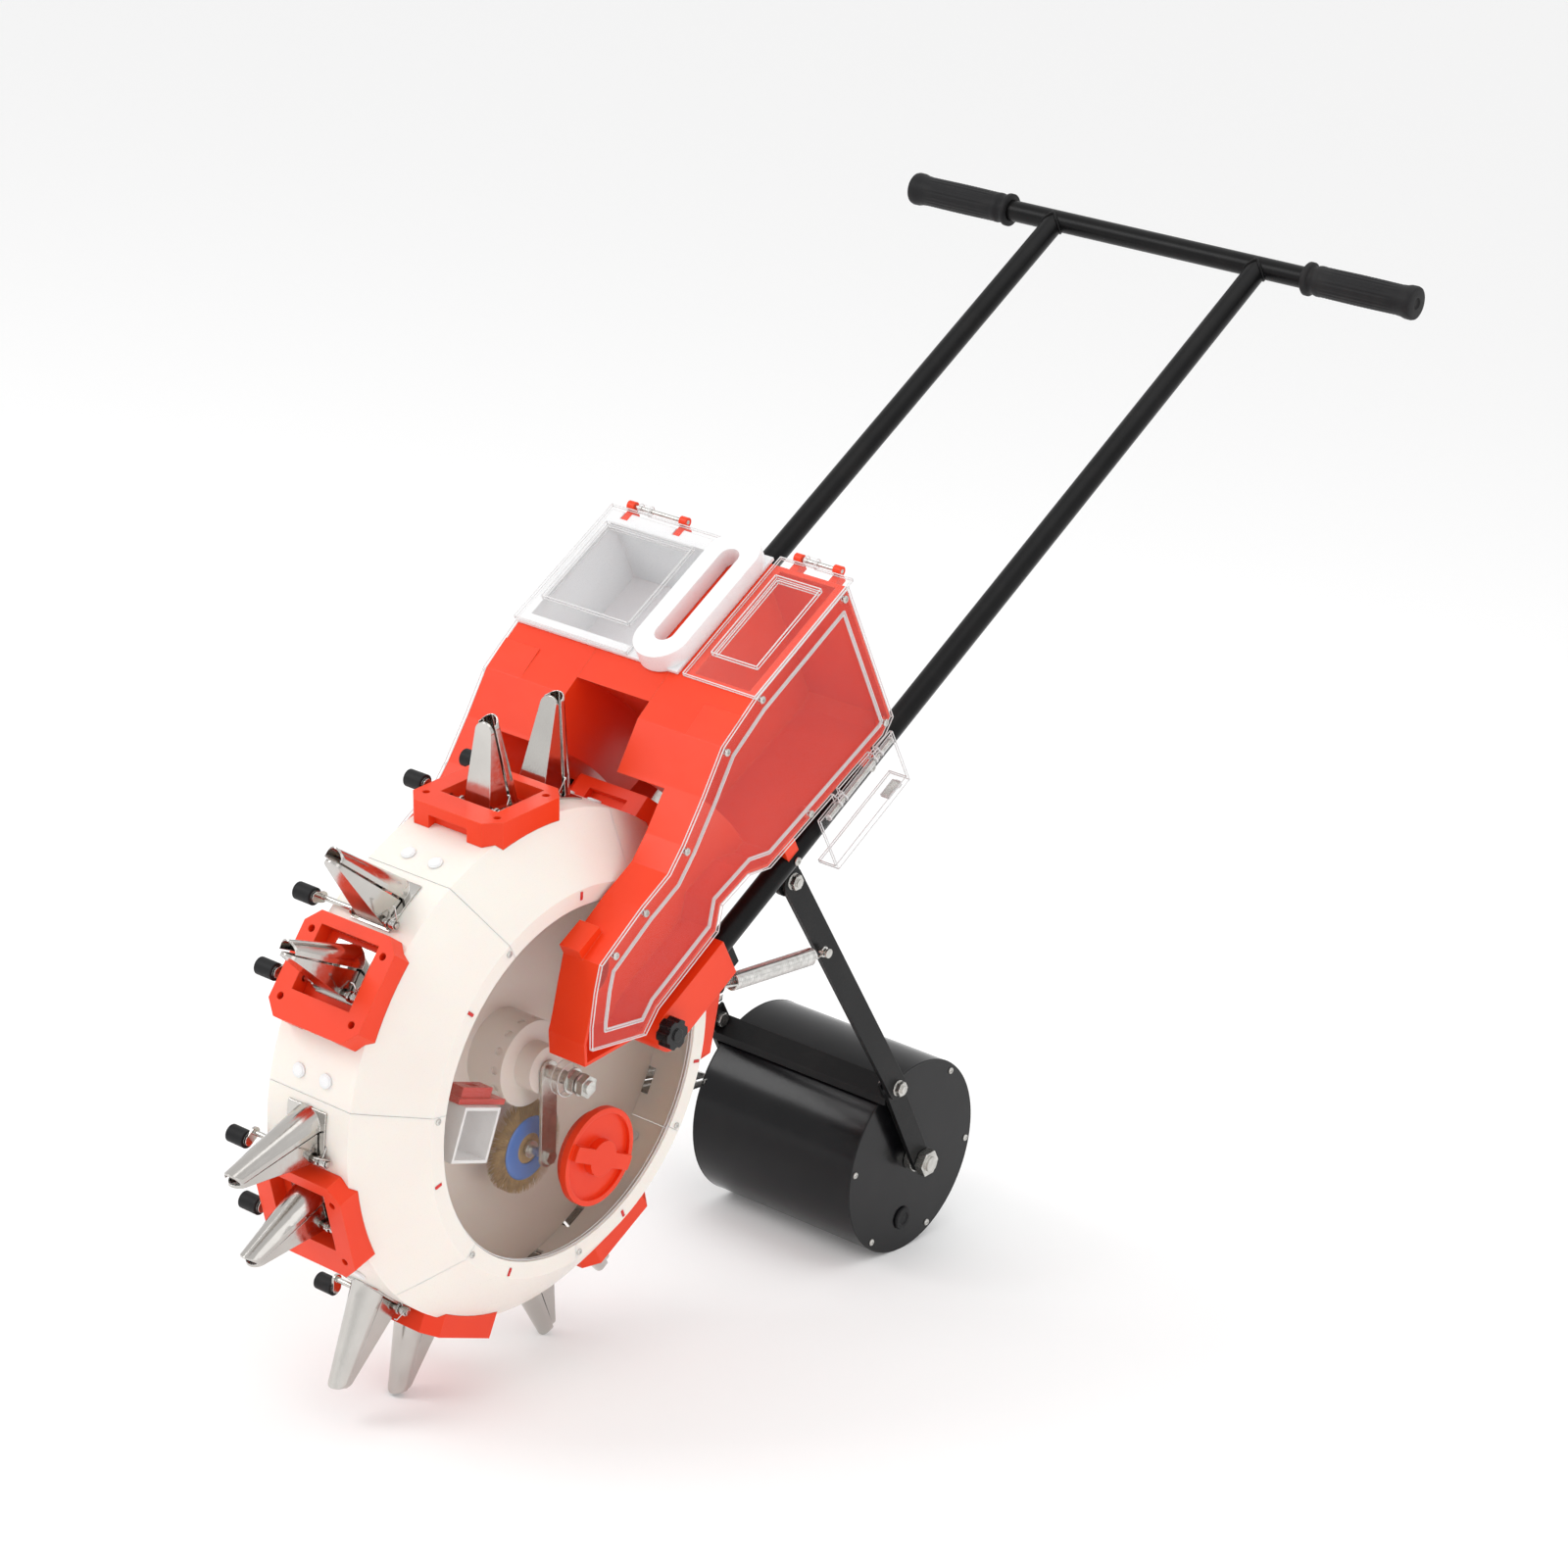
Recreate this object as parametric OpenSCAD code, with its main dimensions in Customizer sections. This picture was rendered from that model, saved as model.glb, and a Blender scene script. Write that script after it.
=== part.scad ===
// Hand-push dibble-wheel seeder and fertiliser.
// A drum with fourteen duckbill mouths is pushed ahead of a sprung press roller.
// Directions: -Y is forward travel, +Y is towards the operator, +Z is up, ground is z = 0.
// +X is on the right for somebody who looks at the machine's front, and a name that ends
// in "_right" means that side.
//
// Two helper frames are used below:
//   axle frame   - origin on the drum axle, axes parallel to the part's axes
//   leaned frame - the axle frame turned by `lean`, so its second axis runs up the
//                  handle tubes and its third axis points away from the hopper's bottom

/* [Stance] */
// Slope of the handle tubes above level when the seeder stands parked, degrees
lean = 36; // [33:0.5:38]

/* [Handle] */
// Outer diameter of the handle tubes and the crossbar
tube_d = 22; // [19:0.5:25]
// Wall of the handle tubes
tube_wall = 1.8; // [1.2:0.1:2.5]
// Distance from the middle plane to each handle tube
tube_x = 122.9; // [121:0.1:124]
// Distance along the tubes from the drum axle to the crossbar
handle_reach = 1129; // [900:1:1360]
// Full width of the crossbar over both grips
crossbar_w = 606; // [500:1:730]
// Length of one rubber grip
grip_len = 124; // [100:1:150]
// Outer diameter of a grip's body
grip_d = 31; // [27:0.5:36]

/* [Drum] */
// Number of drum segments; each carries one fertiliser mouth and one seed mouth
segment_count = 7; // [7:1:7]
// Radius of the tread
tread_r = 236; // [232:0.5:238]
// Half width of the flat tread
tread_half = 47; // [45:0.5:49]
// Wall of the moulded drum segments
drum_wall = 3.5; // [3:0.1:4.5]
// Gap between two neighbouring segments, degrees
seam_gap = 0.1; // [0.06:0.02:0.2]
// Radius of the clear side window
window_r = 165.2; // [160:0.1:166]
// Thickness of the clear side window
window_t = 3; // [2:0.1:3.3]

/* [Mouths] */
// Radius from the drum axle to the tip of a fertiliser mouth
bare_tip_r = 328.2; // [322:0.1:330]
// Radius from the drum axle to the tip of a seed mouth
seed_tip_r = 322; // [318:0.1:326]
// Angle from a seam to the fertiliser mouth's tip
bare_phase = 9.3; // [8.5:0.1:10]
// Angle from a seam to the seed mouth's tip
seed_phase = 24.4; // [24:0.1:25]
// Half width of a beak at its root
beak_root = 17; // [15:0.5:17.5]
// Half width of a beak at its tip
beak_tip = 10; // [8:0.5:11]
// Sheet thickness of the stainless beaks and flaps
sheet = 1.5; // [1:0.1:1.8]
// Half width of an orange saddle block
block_half = 52; // [50:0.5:54]

/* [Hopper] */
// Outer face of the hopper shells, from the middle plane
shell_x = 136.5; // [136:0.1:137]
// Wall of the hopper shells
shell_wall = 3; // [2.5:0.1:3.5]
// Thickness of the clear covers, lids and doors
clear_t = 3; // [2:0.1:3.2]
// Radius that the hopper's side boxes keep clear of the drum axle
box_clear_r = 268; // [264:0.5:272]
// Radius that the bridge between the boxes keeps clear of the drum axle
bridge_clear_r = 335; // [333:0.5:340]
// Half width of the recess that the mouths pass through
recess_half = 42; // [40:0.5:46]

/* [Metering] */
// Diameter of the drum axle
axle_d = 12; // [10:0.5:14]
// Radius of the metering wheel on the drum hub
meter_r = 40; // [36:0.5:42]
// Radius of the bristle wheel
brush_r = 44; // [37:0.5:46]
// Angle of the bristle wheel's pin around the axle
brush_angle = 277; // [270:1:290]

/* [Press roller] */
// Radius of the press roller
roller_r = 101; // [85:0.5:115]
// Full length of the press roller
roller_len = 197.4; // [180:0.2:200]
// Diameter of the roller's axle
roller_axle_d = 16; // [12:0.5:20]
// Width of the flat steel arms
arm_w = 25; // [22:0.5:28]
// Thickness of the flat steel arms
arm_t = 5; // [4:0.1:5]

/* [Fits] */
// Radial clearance of a running fit
run_fit = 0.05; // [0.02:0.01:0.08]
// Gap left between two pieces that lie against each other
rest_gap = 0.1; // [0.05:0.01:0.2]

/* [Hidden] */
$fn = 64;
// Clearance of a bore on a pin of the same body
eps = 0.01;
tube_r = tube_d / 2;
axle_r = axle_d / 2;
roller_axle_r = roller_axle_d / 2;
seam_step = 360 / segment_count;

// The two lowest mouth tips rest on the ground together. A tip is `beak_tip` deep:
// the fertiliser tip meets the ground at its spine, the seed tip at its rim.
seed_rim_r = norm([seed_tip_r, beak_tip]);
seed_rim_angle = seed_phase + atan(beak_tip / seed_tip_r);
rest_gamma = seam_step + bare_phase - seed_rim_angle;
rest_turn = atan((bare_tip_r / seed_rim_r - cos(rest_gamma)) / sin(rest_gamma));
axle_z = bare_tip_r * cos(rest_turn);
first_seam = 270 + rest_turn - bare_phase - 3 * seam_step;
function seam_angle(k) = first_seam + k * seam_step;

// The part's origin is on the ground in the middle of its length.
grip_flare = 1.5;
front_y = -bare_tip_r * cos(180 - seam_angle(1) - bare_phase);
rear_y = handle_reach * cos(lean) + grip_d / 2 + grip_flare;
mid_y = (front_y + rear_y) / 2;

// Drum section
bevel_r = tread_r - 16;
bevel_half = tread_half + 14;
flank_r = 182;
flank_half = 92;
rim_r = window_r + 1.1;
window_x = 87;
window_out = window_x + window_t;
plug_phase = 47;
plug_x = 15.5;
seam_screw_r = 175.5;
mark_r = 176;
mark_phase = 21.4;

// Mouth hinge in the mouth's own frame: x across, y out from the axle, z around the drum
hinge_r = 241;
shaft_r = 2.5;
bare_hinge_t = 13;
seed_hinge_t = 19;
bare_lean_t = -13;
seed_lean_t = -6;
roller_arm_x = 55.5;
finger_r = 8;
finger_len = 19;

// Hopper outline in the leaned frame
top_v = 195;
lid_front = 312;
hopper_rear = 455;
outline = [
    [hopper_rear, top_v], [452, 30], [435, 22], [254, 32], [230, 48], [189, 51], [173, 33],
    [81, 31], [57, 22], [0, 66], [10, 85], [29, 110], [46, 128], [110, 134], [150, 134],
    [176, 144], [216, 164], [257, 187], [lid_front, top_v]
];
leg_outline = [
    [254, 32], [230, 48], [189, 51], [173, 33], [81, 31], [57, 22], [-12, 56], [-3, 76], [10, 89],
    [29, 110], [46, 128], [110, 134], [150, 134], [176, 144], [216, 164], [257, 187], [290, top_v - 2],
    [290, 31]
];
leg_x = 96;
port_u = 62;
port_v = 82;
port_r = 21;
cover_x = shell_x + 0.2;
cover_screws = [
    [316, 188.5], [258, 180], [176, 137], [110, 127.2], [63, 122.5], [320, 35], [446, 188.5], [441, 33]
];
cover_screw_r = 1.6;
cover_boss_r = 5;
cover_boss_len = 6;
foot_u = [282, 404];
foot_w = 16;
front_lug = [45, 112];

// Seed container
tub_x0 = -130;
tub_x1 = -5;
tub_u0 = 318;
tub_u1 = 448;
tub_v0 = 124;
rim_v0 = top_v + 0.2;
rim_v1 = rim_v0 + 3.2;
rim_u0 = lid_front - 3;
rim_u1 = hopper_rear + 5;
loop_x = 24.5;
loop_r = 27.5;
loop_u0 = 304;
loop_u1 = 466;
loop_v = 214;
slot_r = 10;

// Lids and doors
lid_hinge_u = 468;
lid_pin_r = 2;
knuckle_r = 4.5;
right_lugs = [72, 116];
left_lugs = [-122, -60];
right_lid_v = top_v + 0.3;
left_lid_v = rim_v1 + 0.3;
right_hinge_v = right_lid_v + 2;
left_hinge_v = left_lid_v + 2;
door_u0 = 327;
door_u1 = 445;
door_v0 = -48;
door_hinge_v = 16;
door_hinge_x = cover_x + clear_t + 3.6;
door_lugs = [door_u0 + 26, door_u1 - 34];
lug_w = 8;
door_pin_r = 1.5;
door_end = 8;
door_floor_x = 117;

// Metering parts
cap_at = [41.7, -81.1];
cap_r = 46;
brush_gap = 0.4;
brush_pin_r = 4;
brush_c = meter_r + brush_r + brush_gap;
brush_x = [28, 41];
hub_half = 60;
feed_tilt = -14;
feed_at = [-118, -22];

// Brackets and knobs
bracket_x = [95, 136.8];
bracket_u = [66, 176];
bracket_v = [-27, 15];
knob_u = 80;
knob_r = 14;
knob_screw_r = 3;
knob_screw_len = 14;
tube_start = 132;
tube_screws = [for (u = foot_u) u + foot_w / 2];
tube_screw_r = 2.4;

// Press-roller arm, in the leaned frame
pivot = [290, -34.5];
roller_u = 312.5;
roller_c = [roller_u, (roller_r - axle_z - roller_u * sin(lean)) / cos(lean)];
link_c = roller_c + [1.5, 118];
strut_x = 113;
link_x = strut_x - arm_t - 0.4;
bolt_r = 4;
spring_x = 123.5;
spring_top = [159, -35];
spring_low = [288, -130];
spring_r = 8.5;
spring_len = 118;
filler_at = [-2, -66];
filler_r = 8;

// ---------------------------------------------------------------- helpers

// Puts the axle frame into the part's frame.
module placed() {
    translate([0, -mid_y, axle_z]) children();
}

// Puts the leaned frame into the part's frame.
module leaned() {
    placed() rotate([lean, 0, 0]) children();
}

// Turns the axle frame so that its second axis points out at `angle` around the drum.
module spoke(angle) {
    rotate([angle, 0, 0]) children();
}

module both_sides() {
    children();
    mirror([1, 0, 0]) children();
}

// Extrudes a flat (second axis, third axis) shape across from x0 to x1.
module slab(x0, x1) {
    translate([x0, 0, 0]) rotate([90, 0, 90]) linear_extrude(x1 - x0) children();
}

// Spins a (radius, x) section about the x axis.
module lathe(angle = 360) {
    rotate([90, 0, 90]) rotate_extrude(angle = angle, $fn = 128) children();
}

module rod_x(r, x0, x1) {
    translate([x0, 0, 0]) rotate([0, 90, 0]) cylinder(r = r, h = x1 - x0);
}

module pipe_x(r_out, r_in, x0, x1) {
    difference() {
        rod_x(r_out, x0, x1);
        rod_x(r_in, x0 - 1, x1 + 1);
    }
}

module at(p) {
    translate([0, p[0], p[1]]) children();
}

// Hexagon nut or bolt head along x, measured across its flats.
module hex_x(flats, x0, x1) {
    translate([x0, 0, 0]) rotate([0, 90, 0]) cylinder(d = flats / cos(30), h = x1 - x0, $fn = 6);
}

// Flat bar between two points with round ends that stand a little proud of its edges.
module bar_2d(p, q, w) {
    d = q - p;
    body = w - 0.2;
    translate(p) rotate(atan2(d[1], d[0])) translate([0, -body / 2]) square([norm(d), body]);
    translate(p) circle(d = w);
    translate(q) circle(d = w);
}

// Moves every edge of a closed outline inwards by d. Positive d shrinks an outline
// that runs clockwise.
function edge_normal(a, b) = [b[1] - a[1], a[0] - b[0]] / norm(b - a);
function inset_corner(a, b, c, d) =
    let (n1 = edge_normal(a, b), n2 = edge_normal(b, c), s = n1 + n2)
    b + s * (d / (1 + n1 * n2));
function inset(pts, d) =
    let (n = len(pts))
    [for (i = [0 : n - 1]) inset_corner(pts[(i + n - 1) % n], pts[i], pts[(i + 1) % n], d)];

// ---------------------------------------------------------------- handle

module handle_tube() {
    rod_r = tube_r - tube_wall;
    leaned() translate([tube_x, 0, 0]) difference() {
        translate([0, tube_start, 0]) rotate([-90, 0, 0])
            cylinder(r = tube_r, h = handle_reach - tube_start);
        translate([0, tube_start - 1, 0]) rotate([-90, 0, 0]) cylinder(r = rod_r, h = handle_reach);
        translate([0, handle_reach, 0]) rod_x(tube_r, -40, 40);
        for (u = tube_screws)
            translate([0, u, 0]) rod_x(tube_screw_r + rest_gap, 0, 40);
    }
}

module handle_tube_right() {
    color("#151515") handle_tube();
}

module handle_tube_left() {
    color("#151515") mirror([1, 0, 0]) handle_tube();
}

module handle_crossbar() {
    half = crossbar_w / 2 - 4;
    color("#151515") leaned() translate([0, handle_reach, 0])
        pipe_x(tube_r, tube_r - tube_wall, -half, half);
}

// Grip with a ring collar at its inner end and a flared, closed outer end.
module grip() {
    out = crossbar_w / 2;
    inner = out - grip_len;
    body = grip_d / 2;
    flare = body + grip_flare;
    bore = tube_r + rest_gap;
    leaned() translate([0, handle_reach, 0]) lathe() polygon([
        [bore, inner], [flare, inner], [flare, inner + 5],
        [body - 1.5, inner + 7], [body - 1.5, inner + 11], [body, inner + 14],
        [body, out - 14], [flare, out - 8], [flare, out - 2], [flare - 2, out],
        [0, out], [0, out - 3.8], [bore, out - 3.8]
    ]);
}

module grip_right() {
    color("#202022") grip();
}

module grip_left() {
    color("#202022") mirror([1, 0, 0]) grip();
}

// Orange arm that holds the lower end of a handle tube against the side window.
module tube_bracket() {
    mid_v = (bracket_v[0] + bracket_v[1]) / 2;
    nose = (bracket_v[1] - bracket_v[0]) / 2;
    leaned() difference() {
        union() {
            slab(bracket_x[0], bracket_x[1]) union() {
                translate([bracket_u[0] + nose, bracket_v[0]])
                    square([bracket_u[1] - bracket_u[0] - nose, 2 * nose]);
                translate([bracket_u[0] + nose, mid_v]) circle(r = nose);
            }
            translate([0, knob_u + 8, mid_v]) rod_x(13, window_out + rest_gap, bracket_x[0] + 1);
        }
        translate([tube_x, tube_start - rest_gap, 0]) rotate([-90, 0, 0])
            cylinder(r = tube_r + rest_gap, h = 200);
        translate([bracket_x[1], knob_u, 0])
            rod_x(knob_screw_r + run_fit, -knob_screw_len - 2, 1);
    }
}

module tube_bracket_right() {
    color("#f03c1e") tube_bracket();
}

module tube_bracket_left() {
    color("#f03c1e") mirror([1, 0, 0]) tube_bracket();
}

// Star knob on a screw that clamps the tube in its bracket.
module knob() {
    face = bracket_x[1] + 0.3;
    lobes = 6;
    leaned() translate([0, knob_u, 0]) {
        difference() {
            rod_x(knob_r, face, face + 13);
            for (i = [0 : lobes - 1])
                rotate([i * 360 / lobes, 0, 0]) translate([face, knob_r + 2, 0]) rod_x(4.2, -1, 14);
        }
        rod_x(knob_screw_r, face - knob_screw_len, face);
        rod_x(6, face + 13, face + 14.5);
    }
}

module knob_right() {
    color("#101010") knob();
}

module knob_left() {
    color("#101010") mirror([1, 0, 0]) knob();
}

// ---------------------------------------------------------------- hopper

module hopper_2d(pts, clear_r) {
    difference() {
        polygon(pts);
        circle(r = clear_r, $fn = 128);
    }
}

// Side shell: an upper box over the drum's shoulder and a leg that reaches down to the
// side window. Its outer side is open and is closed by the clear cover.
module hopper_shell() {
    w = shell_wall;
    difference() {
        union() {
            slab(recess_half, shell_x) hopper_2d(outline, box_clear_r);
            slab(leg_x, shell_x) polygon(leg_outline);
            for (u = foot_u)
                translate([tube_x - 9, u, 0]) cube([18, foot_w, 34]);
            at([port_u, port_v]) rod_x(port_r + 5, window_out + rest_gap, leg_x + 1);
            translate([leg_x, front_lug[0], front_lug[1]]) cube([22, 30, 26]);
        }
        slab(recess_half + w, shell_x + 1) hopper_2d(inset(outline, w), box_clear_r + w);
        slab(leg_x + w, shell_x + 1) polygon(inset(leg_outline, w));
        slab(leg_x + w, shell_x + 1) translate([280, 35]) square([20, 150]);
        at([port_u, port_v]) rod_x(port_r, window_x, leg_x + w + 1);
        translate([tube_x, 0, 0]) rotate([-90, 0, 0]) cylinder(r = tube_r + rest_gap, h = 600);
        for (s = cover_screws)
            at(s) rod_x(cover_screw_r + rest_gap, shell_x - cover_boss_len - 1, shell_x + 1);
    }
    difference() {
        for (s = cover_screws)
            at(s) rod_x(cover_boss_r, shell_x - cover_boss_len, shell_x);
        for (s = cover_screws)
            at(s) rod_x(cover_screw_r + rest_gap, shell_x - cover_boss_len - 1, shell_x + 1);
    }
}

// Opening in the lid plane, from x0 to x1.
module mouth_cut(x0, x1) {
    translate([x0, tub_u0 - 2, tub_v0 - 2]) cube([x1 - x0, tub_u1 - tub_u0 + 4, 100]);
}

// Two hinge lugs on the shell's rear wall that carry a lid's pin.
module lid_lugs(xs, hinge_v) {
    for (x = xs)
        difference() {
            union() {
                at([lid_hinge_u, hinge_v]) rod_x(knuckle_r, x, x + 8);
                translate([x, hopper_rear - 3, hinge_v - 12]) cube([8, lid_hinge_u - hopper_rear + 3, 9]);
            }
            at([lid_hinge_u, hinge_v]) rod_x(lid_pin_r + eps, x - 1, x + 9);
        }
}

module hopper_right() {
    color("#f03c1e") leaned() {
        difference() {
            hopper_shell();
            mouth_cut(66, 128);
        }
        lid_lugs(right_lugs, right_hinge_v);
    }
}

module hopper_left() {
    color("#f03c1e") leaned() {
        difference() {
            mirror([1, 0, 0]) hopper_shell();
            mouth_cut(tub_x0 - 2, tub_x1 + 2);
        }
        lid_lugs(left_lugs, left_hinge_v);
    }
}

// Middle part of the hopper: the back wall of the recess is concentric with the drum.
module hopper_bridge() {
    w = shell_wall;
    half = recess_half - 0.05;
    color("#f0320f") leaned() difference() {
        slab(-half, half) hopper_2d(outline, bridge_clear_r);
        slab(-half + w, half - w) hopper_2d(inset(outline, w), bridge_clear_r + w);
        mouth_cut(tub_x0 - 2, tub_x1 + 2);
    }
}

// White seed container: a tub, a rim that closes the top, and a raised carrying loop.
module seed_container() {
    w = 2.5;
    rim_x0 = -shell_x - 0.5;
    rim_x1 = loop_x + loop_r;
    color("#f4f2ee") leaned() difference() {
        union() {
            translate([tub_x0, tub_u0, tub_v0]) cube([tub_x1 - tub_x0, tub_u1 - tub_u0, rim_v1 - tub_v0]);
            translate([rim_x0, rim_u0, rim_v0]) cube([rim_x1 - rim_x0, rim_u1 - rim_u0, rim_v1 - rim_v0]);
            for (u = [loop_u0 + loop_r, loop_u1 - loop_r])
                translate([loop_x, u, rim_v0]) cylinder(r = loop_r, h = loop_v - rim_v0);
            translate([loop_x - loop_r, loop_u0 + loop_r, rim_v0])
                cube([2 * loop_r, loop_u1 - loop_u0 - 2 * loop_r, loop_v - rim_v0]);
        }
        translate([tub_x0 + w, tub_u0 + w, tub_v0 + w])
            cube([tub_x1 - tub_x0 - 2 * w, tub_u1 - tub_u0 - 2 * w, 100]);
        translate([tub_x0 + 16, tub_u0 + 22, tub_v0 - 1]) cylinder(r = 11, h = 10);
        for (u = [loop_u0 + loop_r + 4, loop_u1 - loop_r - 4])
            translate([loop_x, u, tub_v0]) cylinder(r = slot_r, h = 120);
        translate([loop_x - slot_r, loop_u0 + loop_r + 4, tub_v0])
            cube([2 * slot_r, loop_u1 - loop_u0 - 2 * loop_r - 8, 120]);
        for (x = left_lugs)
            translate([x - 0.4, hopper_rear - 3.4, rim_v0 - 1]) cube([8.8, 20, 10]);
    }
}

// Clear lid: a plate with a raised window and two knuckles on the shell's pin.
module lid(x0, x1, v0, knuckles, hinge_v) {
    plate_len = lid_hinge_u - knuckle_r - lid_front + 1.4;
    wide = x1 - x0 - 30;
    long = hopper_rear - lid_front - 42;
    wall = 2.5;
    leaned() difference() {
        union() {
            translate([x0, lid_front - 2, v0]) cube([x1 - x0, plate_len, clear_t]);
            translate([x0 + 13, lid_front + 26, v0 + clear_t - 1]) cube([wide, long, 5]);
            for (x = knuckles) {
                at([lid_hinge_u, hinge_v]) rod_x(knuckle_r, x, x + 12);
                translate([x, lid_hinge_u - knuckle_r - 4, v0]) cube([12, knuckle_r + 4, clear_t]);
            }
        }
        translate([x0 + 13 + wall, lid_front + 26 + wall, v0 - 1])
            cube([wide - 2 * wall, long - 2 * wall, 4.5]);
        at([lid_hinge_u, hinge_v]) rod_x(lid_pin_r + run_fit, x0, x1);
    }
}

module lid_right() {
    color([0.9, 0.6, 0.55, 0.4]) lid(58, 139, right_lid_v, [84], right_hinge_v);
}

module lid_left() {
    color([0.95, 0.95, 0.97, 0.4]) lid(-139, -6, left_lid_v, [-108], left_hinge_v);
}

// Clear cover over the open side of a shell, with a raised bead and its corner at the leg.
module side_cover() {
    bead_in = 15;
    bead_w = 2.2;
    leaned() difference() {
        union() {
            slab(cover_x, cover_x + clear_t) polygon(outline);
            slab(cover_x + clear_t - 1, cover_x + clear_t + 1.2) difference() {
                polygon(inset(outline, bead_in));
                polygon(inset(outline, bead_in + bead_w));
            }
            for (u = door_lugs) {
                translate([door_hinge_x, u, door_hinge_v]) rotate([-90, 0, 0]) cylinder(r = 3, h = lug_w);
                translate([cover_x, u, door_hinge_v]) cube([clear_t, lug_w, 20]);
                translate([cover_x, u, door_hinge_v]) cube([clear_t + 3.6, lug_w, 7.4]);
            }
        }
        for (s = cover_screws)
            at(s) rod_x(cover_screw_r + 0.3, cover_x - 1, cover_x + 10);
        door_pin(door_pin_r + eps);
    }
}

module side_cover_right() {
    color([0.95, 0.75, 0.7, 0.35]) side_cover();
}

module side_cover_left() {
    color([0.95, 0.75, 0.7, 0.35]) mirror([1, 0, 0]) side_cover();
}

// Round bar along the door's hinge line, as long as the door without its ends.
module door_pin(r) {
    translate([door_hinge_x, door_u0 + door_end, door_hinge_v])
        rotate([-90, 0, 0]) cylinder(r = r, h = door_u1 - door_u0 - 2 * door_end);
}

// Clear clean-out door below the cover; it wraps under the handle tube, and a small
// metal latch is riveted to its lower edge.
module door() {
    gap = 0.8;
    long = door_u1 - door_u0;
    leaned() {
        difference() {
            union() {
                translate([cover_x, door_u0, door_v0]) cube([clear_t, long, door_hinge_v - door_v0 + 1]);
                translate([door_floor_x, door_u0, door_v0])
                    cube([cover_x - door_floor_x + 1, long, clear_t]);
                door_pin(3);
                translate([cover_x, door_u0 + door_end, door_hinge_v - 4])
                    cube([clear_t + 3.6, long - 2 * door_end, 3]);
            }
            for (u = door_lugs)
                translate([cover_x - 1, u - gap, door_hinge_v - 8]) cube([20, lug_w + 2 * gap, 20]);
            translate([door_hinge_x, door_u0, door_hinge_v])
                rotate([-90, 0, 0]) cylinder(r = door_pin_r + run_fit, h = long);
        }
        translate([124, door_u1 - 26, door_v0 - 2.5 - rest_gap]) cube([9, 20, 2.5]);
        translate([126, door_u1 - 8, door_v0 - 7]) cube([5, 4, 5]);
    }
}

module door_right() {
    color([0.95, 0.85, 0.85, 0.35]) door();
}

module door_left() {
    color([0.95, 0.85, 0.85, 0.35]) mirror([1, 0, 0]) door();
}

module hinge_pins() {
    color("silver") leaned() {
        at([lid_hinge_u, right_hinge_v]) rod_x(lid_pin_r, right_lugs[0], right_lugs[1] + 8);
        at([lid_hinge_u, left_hinge_v]) rod_x(lid_pin_r, left_lugs[0], left_lugs[1] + 8);
        both_sides() door_pin(door_pin_r);
    }
}

// Cover screws, tube screws and the bolts through the pivot and spring lugs.
module frame_screws() {
    color("silver") leaned() both_sides() {
        for (s = cover_screws)
            at(s) {
                rod_x(cover_screw_r, shell_x - cover_boss_len + 1, cover_x + clear_t);
                rod_x(3.6, cover_x + clear_t, cover_x + clear_t + 1.8);
            }
        for (u = tube_screws)
            translate([tube_x, u, 0]) {
                rod_x(tube_screw_r, tube_r - tube_wall - 3, tube_r + rest_gap);
                rod_x(4.2, tube_r + rest_gap, tube_r + 2.2);
            }
    }
}

// ---------------------------------------------------------------- lugs, axle, windows

// Steel lugs welded under each tube: one for the arm's pivot, one for the spring's eye.
module arm_lugs() {
    color("#151515") leaned() both_sides() {
        difference() {
            slab(link_x, link_x + arm_t) union() {
                translate([pivot[0] - 16, pivot[1]]) square([32, -pivot[1]]);
                translate(pivot) circle(r = 16);
            }
            at(pivot) rod_x(bolt_r + run_fit, 90, 130);
            translate([tube_x, 0, 0]) rotate([-90, 0, 0]) cylinder(r = tube_r, h = 600);
        }
        difference() {
            union() {
                slab(spring_x - 7.5, spring_x - 2.5) union() {
                    bar_2d(spring_top, spring_top + [29, 0], 11);
                    translate(spring_top + [20, -5.5]) square([16, 5.5 - spring_top[1]]);
                }
                at(spring_top) rod_x(2.4, spring_x - 3, spring_x + 4);
                at(spring_top) rod_x(4.5, spring_x + 4, spring_x + 6);
            }
            translate([tube_x, 0, 0]) rotate([-90, 0, 0]) cylinder(r = tube_r, h = 600);
        }
    }
}

module drum_axle() {
    color("silver") placed() rod_x(axle_r, -112, 112);
}

module axle_nuts() {
    color("silver") placed() both_sides() difference() {
        union() {
            rod_x(12, window_out + rest_gap, window_out + 2);
            hex_x(19, window_out + 2, window_out + 9);
            rod_x(10.5, window_out + 11, window_out + 12.5);
            hex_x(19, window_out + 12.5, window_out + 19.5);
        }
        rod_x(axle_r + eps, 80, 130);
    }
}

// Clear polycarbonate window that closes one side of the drum and stands still.
module side_window(with_cap) {
    difference() {
        union() {
            rod_x(window_r, window_x, window_out);
            rod_x(16, window_x - 8, window_out);
        }
        rod_x(axle_r + eps, 70, 100);
        rotate([lean, 0, 0]) at([port_u, port_v]) rod_x(port_r, 80, 100);
        if (with_cap)
            at(cap_at) rod_x(cap_r - 6, 80, 100);
    }
}

module side_window_right() {
    color([0.93, 0.88, 0.85, 0.35]) placed() side_window(true);
}

module side_window_left() {
    color([0.93, 0.88, 0.85, 0.35]) placed() mirror([1, 0, 0]) side_window(false);
}

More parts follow.
